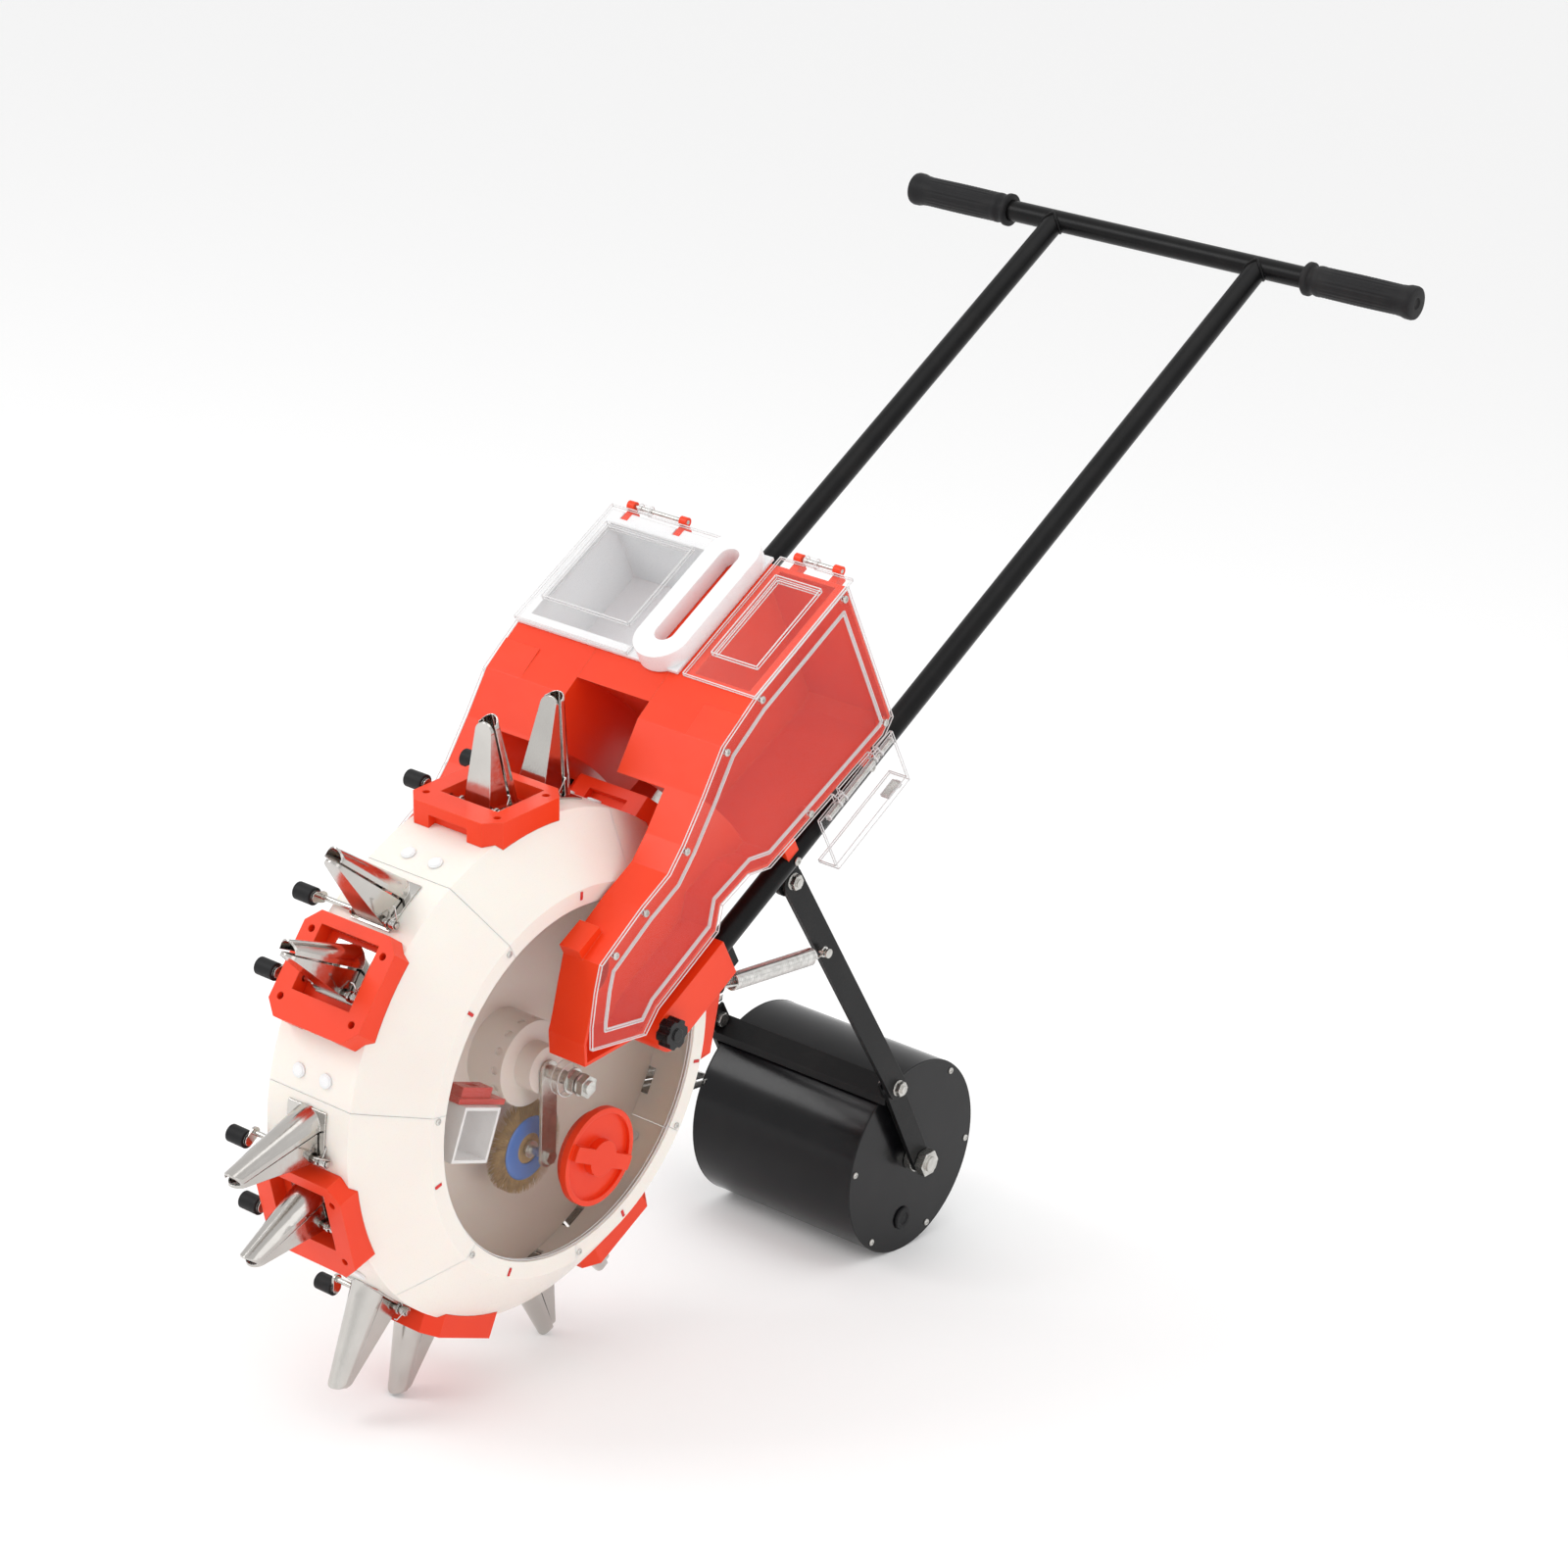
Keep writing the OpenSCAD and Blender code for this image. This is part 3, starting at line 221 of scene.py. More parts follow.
@dataclass(frozen=True)
class Finish:
    """One surface finish: its colours, gloss, grain, and lighter edges that are part wear, part painted
    highlight.

    Widths and depths are in metres, and the scales are those of Blender's noise.
    """

    CLOUD_SPAN: ClassVar[Pair] = (0.35, 0.65)
    GRAIN_SPAN: ClassVar[Pair] = (0.3, 0.7)
    SOIL_SPAN: ClassVar[Pair] = (0.5, 0.75)
    SOIL_SCALE: ClassVar[float] = 38.0
    SOIL: ClassVar[Triple] = (0.42, 0.36, 0.3)
    GLOW_DEPTH: ClassVar[float] = 0.006
    EDGE_SAMPLES: ClassVar[int] = 4

    colour: Triple
    shade: Triple
    gloss: Pair = (0.35, 0.5)
    metal: float = 0.0
    mottle: float = 9.0
    grain: float = 900.0
    grain_depth: float = 0.00004
    wave: float = 60.0
    wave_depth: float = 0.0
    stretch: Triple = (1.0, 1.0, 1.0)
    # Colour of the lighter edges, part wear and part painted highlight.
    edge: Triple | None = None
    edge_width: float = 0.0010
    edge_power: float = 4.0
    glow: float = 0.0
    glow_reach: Triple = (1.0, 0.5, 0.3)
    shine: float = 0.5
    alpha: Pair | None = None
    dust: float = 0.0

    def build(self, name: str) -> Material:
        """Makes the finish's material.

        Args:
            name: Name of the material.

        Returns:
            The material, on object coordinates.
        """
        mat = bpy.data.materials.new(name)
        mat.use_nodes = True
        mat.node_tree.nodes.clear()
        book = NodeBook(mat.node_tree)
        where = book.add("ShaderNodeTexCoord").outputs["Object"]
        place = book.add("ShaderNodeMapping", {"Vector": where, "Scale": self.stretch}).outputs["Vector"]
        fleck = book.noise(place, self.grain, 2.0)
        tone = book.remap(book.noise(where, self.mottle, 4.0), *self.CLOUD_SPAN)
        tint = book.mix(tone, (*self.colour, 1), (*self.shade, 1))
        rough = book.remap(fleck, *self.GRAIN_SPAN, *self.gloss)
        soft_edge = book.add("ShaderNodeBevel", {"Radius": self.edge_width}, samples=self.EDGE_SAMPLES)
        rounded = soft_edge.outputs[0]
        # Lighter colour in specks on the rounded edges: part wear, part painted highlight.
        if self.edge:
            flat = book.add("ShaderNodeNewGeometry").outputs["Normal"]
            turn = book.add("ShaderNodeVectorMath", {0: rounded, 1: flat}, operation="DOT_PRODUCT")
            worn = book.remap(turn.outputs["Value"], 1.0, 1.0 - 1.0 / self.edge_power)
            edge_wear_and_highlight = book.add("ShaderNodeMath", {0: worn, 1: fleck}, operation="MULTIPLY").outputs[0]
            tint = book.mix(edge_wear_and_highlight, tint, (*self.edge, 1))
        if self.dust:
            film = book.remap(book.noise(where, self.SOIL_SCALE, 6.0), *self.SOIL_SPAN, 0.0, self.dust)
            tint = book.mix(film, tint, (*self.SOIL, 1))
        normal = book.bump(fleck, rounded, self.grain_depth)
        if self.wave_depth:
            normal = book.bump(book.noise(where, self.wave, 1.0), normal, self.wave_depth)
        body = book.add("ShaderNodeBsdfPrincipled", {
            "Base Color": tint, "Roughness": rough, "Metallic": self.metal, "Normal": normal,
            "Specular IOR Level": self.shine, "Subsurface Weight": self.glow,
            "Subsurface Radius": self.glow_reach, "Subsurface Scale": self.GLOW_DEPTH})
        if self.alpha:
            rim = book.add("ShaderNodeLayerWeight", {"Blend": 0.5, "Normal": rounded})
            seen = book.remap(rim.outputs["Facing"], 0.5, 1.0, *self.alpha)
            book.tree.links.new(seen, body.inputs["Alpha"])
        book.add("ShaderNodeOutputMaterial", {"Surface": body.outputs[0]})
        return mat


class Look(Enum):
    """Every finish of the machine."""

    ORANGE = Finish((0.88, 0.05, 0.008), (0.82, 0.04, 0.006), gloss=(0.3, 0.44), grain=1500.0,
                    grain_depth=0.00003, wave=45.0, wave_depth=0.00025, edge=(0.98, 0.17, 0.07), glow=0.06,
                    glow_reach=(1.0, 0.2, 0.1), shine=0.32)
    RED = Finish((0.66, 0.01, 0.006), (0.56, 0.007, 0.005), gloss=(0.22, 0.36), edge=(0.85, 0.1, 0.08))
    CREAM = Finish((0.9, 0.845, 0.775), (0.87, 0.79, 0.73), gloss=(0.26, 0.4), mottle=5.0, grain=1200.0,
                   grain_depth=0.00002, wave=26.0, wave_depth=0.0005, edge=(0.97, 0.95, 0.92), glow=0.35,
                   glow_reach=(1.0, 0.55, 0.4))
    WHITE = Finish((0.88, 0.88, 0.88), (0.83, 0.83, 0.84), gloss=(0.24, 0.38), wave=35.0, wave_depth=0.0002,
                   edge=(0.97, 0.97, 0.97), glow=0.3, glow_reach=(1.0, 0.9, 0.85))
    CLEAR = Finish((0.95, 0.92, 0.91), (0.9, 0.86, 0.85), gloss=(0.03, 0.1), mottle=14.0, wave=18.0,
                   wave_depth=0.0006, alpha=(0.035, 0.5), edge=(1.0, 1.0, 1.0), edge_width=0.0015)
    WINDOW = Finish((0.62, 0.46, 0.35), (0.52, 0.38, 0.28), gloss=(0.03, 0.12), mottle=9.0, wave=14.0,
                    wave_depth=0.0006, alpha=(0.06, 0.5), dust=0.2)
    # Near-white, nearly opaque finish of the clear parts' edge wires: painted highlight.
    FROSTED = Finish((0.95, 0.94, 0.94), (0.9, 0.89, 0.89), gloss=(0.15, 0.3), alpha=(0.75, 1.0))
    POWDER = Finish((0.0035, 0.0035, 0.0038), (0.006, 0.006, 0.0064), gloss=(0.24, 0.38), grain=2200.0,
                    grain_depth=0.00006, edge=(0.05, 0.05, 0.05), dust=0.008, shine=0.16)
    ROLLER = Finish((0.0025, 0.0025, 0.003), (0.004, 0.004, 0.005), gloss=(0.14, 0.24), grain=700.0,
                    grain_depth=0.00003, wave=30.0, wave_depth=0.00018, shine=0.24, edge=(0.05, 0.05, 0.05),
                    dust=0.006)
    RUBBER = Finish((0.009, 0.009, 0.01), (0.014, 0.014, 0.015), gloss=(0.42, 0.62), grain=1600.0,
                    grain_depth=0.00012, edge=(0.05, 0.05, 0.05), dust=0.015, shine=0.2)
    KNOB = Finish((0.006, 0.006, 0.007), (0.01, 0.01, 0.01), gloss=(0.22, 0.36), edge=(0.07, 0.07, 0.07),
                  shine=0.3)
    ZINC = Finish((0.66, 0.65, 0.62), (0.5, 0.49, 0.46), gloss=(0.2, 0.36), metal=1.0, mottle=120.0,
                  grain=1800.0, edge=(0.9, 0.89, 0.86))
    WIRE = Finish((0.72, 0.71, 0.69), (0.58, 0.57, 0.55), gloss=(0.12, 0.24), metal=1.0, mottle=200.0)
    STAINLESS = Finish((0.58, 0.56, 0.53), (0.5, 0.48, 0.455), gloss=(0.1, 0.2), metal=1.0, mottle=16.0,
                       grain=260.0, grain_depth=0.000012, stretch=(5.0, 1.0, 1.0), wave=22.0,
                       wave_depth=0.0003, edge=(0.92, 0.91, 0.89))
    BRISTLE = Finish((0.56, 0.36, 0.14), (0.34, 0.21, 0.09), gloss=(0.5, 0.8), mottle=160.0,
                     edge_width=0.0002)
    BLUE = Finish((0.035, 0.2, 0.66), (0.028, 0.16, 0.54), gloss=(0.3, 0.45), edge=(0.12, 0.35, 0.8))


class Wardrobe:
    """Builds each finish once and puts it on nodes and pieces."""

    def __init__(self) -> None:
        """Starts with nothing built."""
        self.made: dict[Look, Material] = {}

    def get(self, look: Look) -> Material:
        """Material of a look, built when first asked for."""
        if look not in self.made:
            self.made[look] = look.value.build(look.name.lower())
        return self.made[look]

    def dress(self, obj: Object, look: Look) -> None:
        """Puts one look on a whole object."""
        obj.data.materials.clear()
        obj.data.materials.append(self.get(look))

    def dress_part(self, obj: Object, look: Look, test: Callable[[Vector], bool]) -> None:
        """Adds a second look to the faces whose centre passes a test.

        Args:
            obj: Object that already wears a look.
            look: The second look.
            test: Says of a face centre whether it takes the second look.
        """
        obj.data.materials.append(self.get(look))
        slot = len(obj.data.materials) - 1
        for face in obj.data.polygons:
            if test(face.center):
                face.material_index = slot


WARDROBE = Wardrobe()


# --- mesh tools

def mesh_object(name: str, verts: Sequence[Vector], edges: Sequence[tuple] = (),
                faces: Sequence[tuple] = ()) -> Object:
    """Makes an object at the origin from points, edges and faces."""
    mesh = bpy.data.meshes.new(name)
    mesh.from_pydata([tuple(v) for v in verts], list(edges), list(faces))
    mesh.update()
    obj = bpy.data.objects.new(name, mesh)
    bpy.context.scene.collection.objects.link(obj)
    return obj


def part_turn(i: float, count: int) -> float:
    """Angle of step i of a full turn made in that many steps, in radians."""
    return 2 * pi * i / count


def on_ring(centre: Vector, x: float, radius: float, angle: float) -> Vector:
    """Point at a radius and angle about an axis along x, in millimetres from a centre."""
    return centre + Vector((x, radius * cos(angle), radius * sin(angle))) * MM


def chains_object(name: str, chains: Iterable[Chain], closed: bool = False) -> Object:
    """Makes an object of edges that run along each chain of points."""
    verts: list[Vector] = []
    edges: list[tuple[int, int]] = []
    for chain in chains:
        start = len(verts)
        verts += chain
        edges += [(start + i, start + i + 1) for i in range(len(chain) - 1)]
        if closed:
            edges.append((len(verts) - 1, start))
    return mesh_object(name, verts, edges)


def plain(obj: Object) -> Object:
    """Turns an object's evaluated shape into its own plain mesh, with no modifiers left."""
    bpy.context.view_layer.update()
    graph = bpy.context.evaluated_depsgraph_get()
    mesh = bpy.data.meshes.new_from_object(obj.evaluated_get(graph), depsgraph=graph)
    obj.modifiers.clear()
    obj.data = mesh
    return obj


def outward(obj: Object) -> Object:
    """Merges doubles and points a closed mesh's faces outwards."""
    grid = bmesh.new()
    grid.from_mesh(obj.data)
    bmesh.ops.remove_doubles(grid, verts=grid.verts, dist=MERGE_DISTANCE)
    bmesh.ops.recalc_face_normals(grid, faces=grid.faces)
    grid.to_mesh(obj.data)
    grid.free()
    return obj


def lathe_x(name: str, profile: Sequence[Pair], centre: Vector, sides: int) -> Object:
    """Spins a profile about an axis along x.

    Args:
        name: Name of the object.
        profile: Radius and x of each ring in millimetres; a radius of zero closes an end.
        centre: A point on the axis; its x is added.
        sides: Faces around.

    Returns:
        The object, with its faces outwards.
    """
    verts: list[Vector] = []
    rings: list[list[int]] = []
    for radius, x in profile:
        if radius <= 0:
            verts.append(centre + Vector((x * MM, 0, 0)))
            rings.append([len(verts) - 1] * sides)
            continue
        ring = []
        for i in range(sides):
            verts.append(on_ring(centre, x, radius, part_turn(i, sides)))
            ring.append(len(verts) - 1)
        rings.append(ring)
    faces = []
    for low, high in zip(rings, rings[1:]):
        for i in range(sides):
            j = (i + 1) % sides
            corner = tuple(dict.fromkeys((low[i], low[j], high[j], high[i])))
            if len(corner) > 2:
                faces.append(corner)
    return outward(mesh_object(name, verts, faces=faces))


def keep_creases(obj: Object, crease: float = 35.0) -> Object:
    """Smooth shading with sharp edges where faces meet at more than that angle, in degrees."""
    obj.data.shade_smooth()
    obj.data.set_sharp_from_angle(angle=radians(crease))
    return obj


# --- geometry nodes

class Trees:
    """The two node trees that make wires and rows of equal pieces."""

    def __init__(self) -> None:
        """Builds both trees."""
        self.wire = self._wire()
        self.scatter = self._scatter()

    @staticmethod
    def _group(name: str, inputs: dict[str, str]) -> tuple[NodeTree, NodeBook, bpy.types.Node]:
        """Starts a tree with named inputs and one geometry output."""
        tree = bpy.data.node_groups.new(name, "GeometryNodeTree")
        for label, kind in inputs.items():
            tree.interface.new_socket(label, in_out="INPUT", socket_type=kind)
        tree.interface.new_socket("Geometry", in_out="OUTPUT", socket_type="NodeSocketGeometry")
        book = NodeBook(tree)
        return tree, book, book.add("NodeGroupInput")

    def _wire(self) -> NodeTree:
        """Round wire of a given radius along every chain of edges."""
        tree, book, given = self._group("wire", {
            "Geometry": "NodeSocketGeometry", "Radius": "NodeSocketFloat", "Sides": "NodeSocketInt",
            "Material": "NodeSocketMaterial"})
        path = book.add("GeometryNodeMeshToCurve", {"Mesh": given.outputs["Geometry"]})
        ring = book.add("GeometryNodeCurvePrimitiveCircle", {
            "Resolution": given.outputs["Sides"], "Radius": given.outputs["Radius"]})
        tube = book.add("GeometryNodeCurveToMesh", {
            "Curve": path.outputs[0], "Profile Curve": ring.outputs[0], "Fill Caps": True})
        smooth = book.add("GeometryNodeSetShadeSmooth", {"Geometry": tube.outputs[0]})
        self._finish(book, smooth.outputs[0], given)
        return tree

    def _scatter(self) -> NodeTree:
        """A template on every point, turned and sized by the points' attributes."""
        tree, book, given = self._group("scatter", {
            "Geometry": "NodeSocketGeometry", "Template": "NodeSocketObject",
            "Material": "NodeSocketMaterial"})
        shape = book.add("GeometryNodeObjectInfo", {"Object": given.outputs["Template"]})
        turn = book.add("GeometryNodeInputNamedAttribute", {"Name": "turn"}, data_type="FLOAT_VECTOR")
        size = book.add("GeometryNodeInputNamedAttribute", {"Name": "size"}, data_type="FLOAT_VECTOR")
        euler = book.add("FunctionNodeEulerToRotation", {"Euler": turn.outputs[0]})
        rows = book.add("GeometryNodeInstanceOnPoints", {
            "Points": given.outputs["Geometry"], "Instance": shape.outputs["Geometry"],
            "Rotation": euler.outputs[0], "Scale": size.outputs[0]})
        self._finish(book, rows.outputs[0], given)
        return tree

    @staticmethod
    def _finish(book: NodeBook, shape: NodeSocket, given: bpy.types.Node) -> None:
        """Ends a tree in real geometry with its material."""
        real = book.add("GeometryNodeRealizeInstances", {"Geometry": shape})
        worn = book.add("GeometryNodeSetMaterial", {
            "Geometry": real.outputs[0], "Material": given.outputs["Material"]})
        book.add("NodeGroupOutput", {0: worn.outputs[0]})

    @staticmethod
    def run(obj: Object, tree: NodeTree, values: dict[str, object]) -> Object:
        """Runs a tree on an object and keeps the result as a plain mesh.

        Args:
            obj: Object that holds the tree's input mesh.
            tree: The tree.
            values: Value of each named input.

        Returns:
            The same object with the finished mesh.
        """
        mod = obj.modifiers.new(tree.name, "NODES")
        mod.node_group = tree
        for item in tree.interface.items_tree:
            if item.item_type == "SOCKET" and item.in_out == "INPUT" and item.name in values:
                mod[item.identifier] = values[item.name]
        obj.data.update()
        return plain(obj)

    def wires(self, name: str, chains: Iterable[Chain], radius: float, look: Look, closed: bool = False,
              sides: int = 8) -> Object:
        """Makes round wires along chains of points.

        Args:
            name: Name of the piece.
            chains: Points of each wire.
            radius: Radius of the wire in millimetres.
            look: Finish of the wire.
            closed: Whether each chain is a ring.
            sides: Faces around the wire.

        Returns:
            The finished piece.
        """
        obj = chains_object(name, chains, closed)
        self.run(obj, self.wire, {"Radius": radius * MM, "Sides": sides, "Material": WARDROBE.get(look)})
        WARDROBE.dress(obj, look)
        return obj

    def rows(self, name: str, template: Object, spots: Sequence[tuple[Vector, Euler, float]],
             look: Look) -> Object:
        """Puts a template on each spot.

        Args:
            name: Name of the piece.
            template: Object to repeat; it is left as it is.
            spots: Place, turn and size of each copy.
            look: Finish of the copies.

        Returns:
            The finished piece.
        """
        obj = mesh_object(name, [spot for spot, _, _ in spots])
        for label, values in (("turn", [tuple(turn) for _, turn, _ in spots]),
                              ("size", [(size,) * 3 for _, _, size in spots])):
            layer = obj.data.attributes.new(label, "FLOAT_VECTOR", "POINT")
            layer.data.foreach_set("vector", [c for row in values for c in row])
        self.run(obj, self.scatter, {"Template": template, "Material": WARDROBE.get(look)})
        WARDROBE.dress(obj, look)
        return keep_creases(obj)


TREES = Trees()


class Templates:
    """Small shapes that are repeated. Each points along +x from its seat and is removed at the end."""

    HEAD_SIDES: ClassVar[int] = 28
    RECESS_LENGTH: ClassVar[float] = 1.15
    RECESS_WIDTH: ClassVar[float] = 0.26
    BRISTLE_SIDES: ClassVar[int] = 3
    BRISTLE_TAPER: ClassVar[float] = 0.6
    PAD_ROUND: ClassVar[float] = 0.25

    def __init__(self) -> None:
        """Starts with no shapes."""
        self.kept: list[Object] = []

    def _store(self, obj: Object) -> Object:
        """Remembers a template so that it can be removed."""
        self.kept.append(obj)
        return obj

    @staticmethod
    def _block(name: str, centre_x: float, size: Triple, turn: float = 0.0) -> Object:
        """Box with its middle on the x axis, turned about it; sizes are in millimetres."""
        bpy.ops.mesh.primitive_cube_add(size=1)
        block = bpy.context.object
        block.name = name
        block.data.transform(Matrix.Translation((centre_x * MM, 0, 0)) @ Matrix.Rotation(turn, 4, "X")
                             @ Matrix.Diagonal((*(Vector(size) * MM), 1)))
        return block

    def pan_head(self, radius: float, height: float) -> Object:
        """Domed screw head with a cross recess."""
        head = lathe_x("template_head", [
            (0, 0), (radius, 0), (radius, 0.35 * height), (0.92 * radius, 0.62 * height),
            (0.70 * radius, 0.86 * height), (0.40 * radius, 0.97 * height), (0, height)], Vector(),
            self.HEAD_SIDES)
        for turn in (0.0, pi / 2):
            size = (height, self.RECESS_LENGTH * radius, self.RECESS_WIDTH * radius)
            cut = self._block("recess", height, size, turn)
            mod = head.modifiers.new("recess", "BOOLEAN")
            mod.operation = "DIFFERENCE"
            mod.solver = "EXACT"
            mod.object = cut
            plain(head)
            bpy.data.objects.remove(cut)
        return self._store(head)

    def bristle(self, length: float, radius: float) -> Object:
        """Thin three-sided bristle that tapers."""
        verts = [on_ring(Vector(), x, r, part_turn(i, self.BRISTLE_SIDES))
                 for x, r in ((0, radius), (length, self.BRISTLE_TAPER * radius))
                 for i in range(self.BRISTLE_SIDES)]
        faces = [(0, 1, 4, 3), (1, 2, 5, 4), (2, 0, 3, 5), (3, 4, 5), (2, 1, 0)]
        return self._store(outward(mesh_object("template_bristle", verts, faces=faces)))

    def pad(self, width: float, depth: float, height: float) -> Object:
        """Small cushion-edged block."""
        block = self._block("template_pad", height / 2, (height, width, depth))
        mod = block.modifiers.new("edge", "BEVEL")
        mod.width = self.PAD_ROUND * depth * MM
        mod.segments = 2
        return self._store(plain(block))

    def clear(self) -> None:
        """Removes every template."""
        for obj in self.kept:
            bpy.data.objects.remove(obj)
        self.kept.clear()


TEMPLATES = Templates()


def facing(side: int) -> Euler:
    """Turn that points a template's +x to that side of the machine."""
    return Euler((0, 0, 0 if side > 0 else pi))


def helix(centre: Vector, axis: Vector, radius: float, pitch: float, turns: float,
          steps: int = 14) -> Chain:
    """Points of a coil.

    Args:
        centre: Middle of the coil's first turn.
        axis: Direction of the coil's axis.
        radius: Radius to the middle of the wire, in millimetres.
        pitch: Advance of one turn, in millimetres.
        turns: Number of turns.
        steps: Points on one turn.

    Returns:
        The points, in metres.
    """
    axis = axis.normalized()
    side = Vector((1, 0, 0)) if abs(axis.x) < 0.9 else Vector((0, 0, 1))
    first = (side - axis * side.dot(axis)).normalized()
    second = axis.cross(first)
    points = []
    for i in range(int(turns * steps) + 1):
        a = part_turn(i, steps)
        points.append(centre + (axis * (pitch * i / steps) + first * (radius * cos(a))
                                + second * (radius * sin(a))) * MM)
    return points


def both(stem: str) -> tuple[str, str]:
    """Names of the right and the left one of a pair."""
    return f"{stem}_right", f"{stem}_left"


def settle(obj: Object, body: str, slot: str, *nodes: str) -> None:
    """Makes a finished piece ride on a body and hides the CAD nodes it stands for."""
    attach(obj, body)
    if nodes:
        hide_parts(*nodes)
    LOG.info("%s rides on %s", obj.name, body)


# --- sub-assemblies

@dataclass
class CarriedNodes:
    """CAD nodes that keep their shape and get a detailed finish."""

    nodes: dict[str, Object]
    looks: dict[Look, tuple[str, ...]] = field(default_factory=lambda: {
        Look.POWDER: (*both("handle_tube"), "handle_crossbar", "arm_lugs", "arm_struts", "arm_links",
                      "scraper"),
        Look.ROLLER: ("press_roller",),
        Look.RUBBER: both("grip"),
        Look.KNOB: both("knob"),
        Look.ZINC: ("drum_axle", "axle_nuts", "brush_hanger", "hinge_pins", "frame_screws", "arm_bolts",
                    "roller_axle", "roller_screws", "segment_screws"),
        Look.WIRE: ("tension_springs", "mouth_springs"),
        Look.ORANGE: (*both("hopper"), "hopper_bridge", *both("tube_bracket"), "drain_cap", "saddle_blocks"),
        Look.RED: ("rate_slider",),
        Look.CREAM: ("drum_segments", "drum_hub"),
        Look.WHITE: ("seed_container", "feed_box", "drum_plugs"),
        Look.CLEAR: (*both("side_cover"), *both("lid"), *both("door")),
        Look.WINDOW: both("side_window"),
        Look.BRISTLE: ("brush_wheel",),
    })
    finger_x: float = -58.05
    latch_v: float = -48.05

    def dress(self) -> None:
        """Puts the finishes on, and second finishes on rubber rollers and latches."""
        for look, names in self.looks.items():
            for name in names:
                WARDROBE.dress(self.nodes[name], look)
        for name, obj in self.nodes.items():
            if name.startswith("flap_"):
                WARDROBE.dress(obj, Look.STAINLESS)
                WARDROBE.dress_part(obj, Look.RUBBER, lambda p: p.x < self.finger_x * MM)
        WARDROBE.dress(self.nodes["mouth_beaks"], Look.STAINLESS)
        base = LAYOUT.leaned(0, 0, 0)
        down = (LAYOUT.leaned(0, 0, -1) - base) / MM
        for name in both("door"):
            WARDROBE.dress_part(self.nodes[name], Look.ZINC,
                                lambda p: (p - base).dot(down) > -self.latch_v * MM)
        LOG.info("%d CAD nodes dressed", len(self.nodes))


@dataclass
class TensionSprings:
    """Close-wound springs between the tubes and the struts, with a hook at each end."""

    coil_r: float = 7.2
    wire_r: float = 1.2
    turns: int = 47
    body_len: float = 118.0
    hook_r: float = 4.3
    hook_arc: float = 300.0
    hook_steps: int = 14

    @staticmethod
    def ends(side: int) -> tuple[Vector, Vector]:
        """Upper and lower eye of the spring on that side."""
        x = side * LAYOUT.spring_x
        return LAYOUT.leaned(x, *LAYOUT.spring_top), LAYOUT.leaned(x, *LAYOUT.spring_low)

    def chain(self, side: int) -> Chain:
        """Centre line of one spring.

        Args:
            side: +1 for the right spring, -1 for the left.

        Returns:
            Points from the upper eye to the lower one.
        """
        top, low = self.ends(side)
        axis = (low - top).normalized()
        lead = ((low - top).length / MM - self.body_len) / 2
        across = axis.cross(Vector((1, 0, 0))).normalized()

        def hook(centre: Vector, out: Vector) -> Chain:
            """Open ring around a pin, from its far side to the spring's axis."""
            ring = []
            for i in range(self.hook_steps + 1):
                a = radians(-self.hook_arc / 2 + self.hook_arc * i / self.hook_steps)
                ring.append(centre + (-out * cos(a) + across * sin(a)) * (self.hook_r * MM))
            return ring

        coil = helix(top + axis * (lead * MM), axis, self.coil_r, self.body_len / self.turns, self.turns)
        start = hook(top, axis)
        end = hook(low, -axis)[::-1]
        return start + [start[-1].lerp(coil[0], 0.5)] + coil + [coil[-1].lerp(end[0], 0.5)] + end

    def build(self) -> None:
        """Makes both springs, each from its eye on the frame to its eye on the arm."""
        for side, label in SIDES:
            obj = TREES.wires(f"spring_coil_{label}", [self.chain(side)], self.wire_r, Look.WIRE)
            top, low = self.ends(side)
            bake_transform(obj)
            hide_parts("tension_springs")
            LOG.info("%s stretches from the frame to the arm", obj.name)


@dataclass
class MouthSprings:
    """Torsion spring on each mouth's shaft, with two legs."""

    coil_r: float = 3.7
    wire_r: float = 0.65
    pitch: float = 1.45
    turns: int = 4
    start_x: float = 23.0
    foot: Pair = (4.5, 9.0)
    tail: Pair = (13.0, 7.0)
    tail_bend: float = 3.0

    def build(self) -> None:
        """Makes the springs of all mouths as one piece on the drum."""
        chains = []
        for angle, hinge in LAYOUT.mouths():
            centre = LAYOUT.around(self.start_x, LAYOUT.hinge_r, hinge, angle)
            coil = helix(centre, Vector((1, 0, 0)), self.coil_r, self.pitch, self.turns)
            out = (LAYOUT.around(0, 1, 0, angle) - LAYOUT.around(0, 0, 0, angle)).normalized()
            side = (LAYOUT.around(0, 0, 1, angle) - LAYOUT.around(0, 0, 0, angle)).normalized()
            foot = coil[0] - (out * self.foot[0] + side * self.foot[1]) * MM
            tail = coil[-1] + (out * self.tail[0] - side * self.tail[1]) * MM
            chains.append([foot] + coil + [tail, tail - Vector((self.tail_bend * MM, 0, 0))])
        wire = TREES.wires("mouth_spring_wire", chains, self.wire_r, Look.WIRE, sides=6)
        settle(wire, "drum", "spring_steel", "mouth_springs")


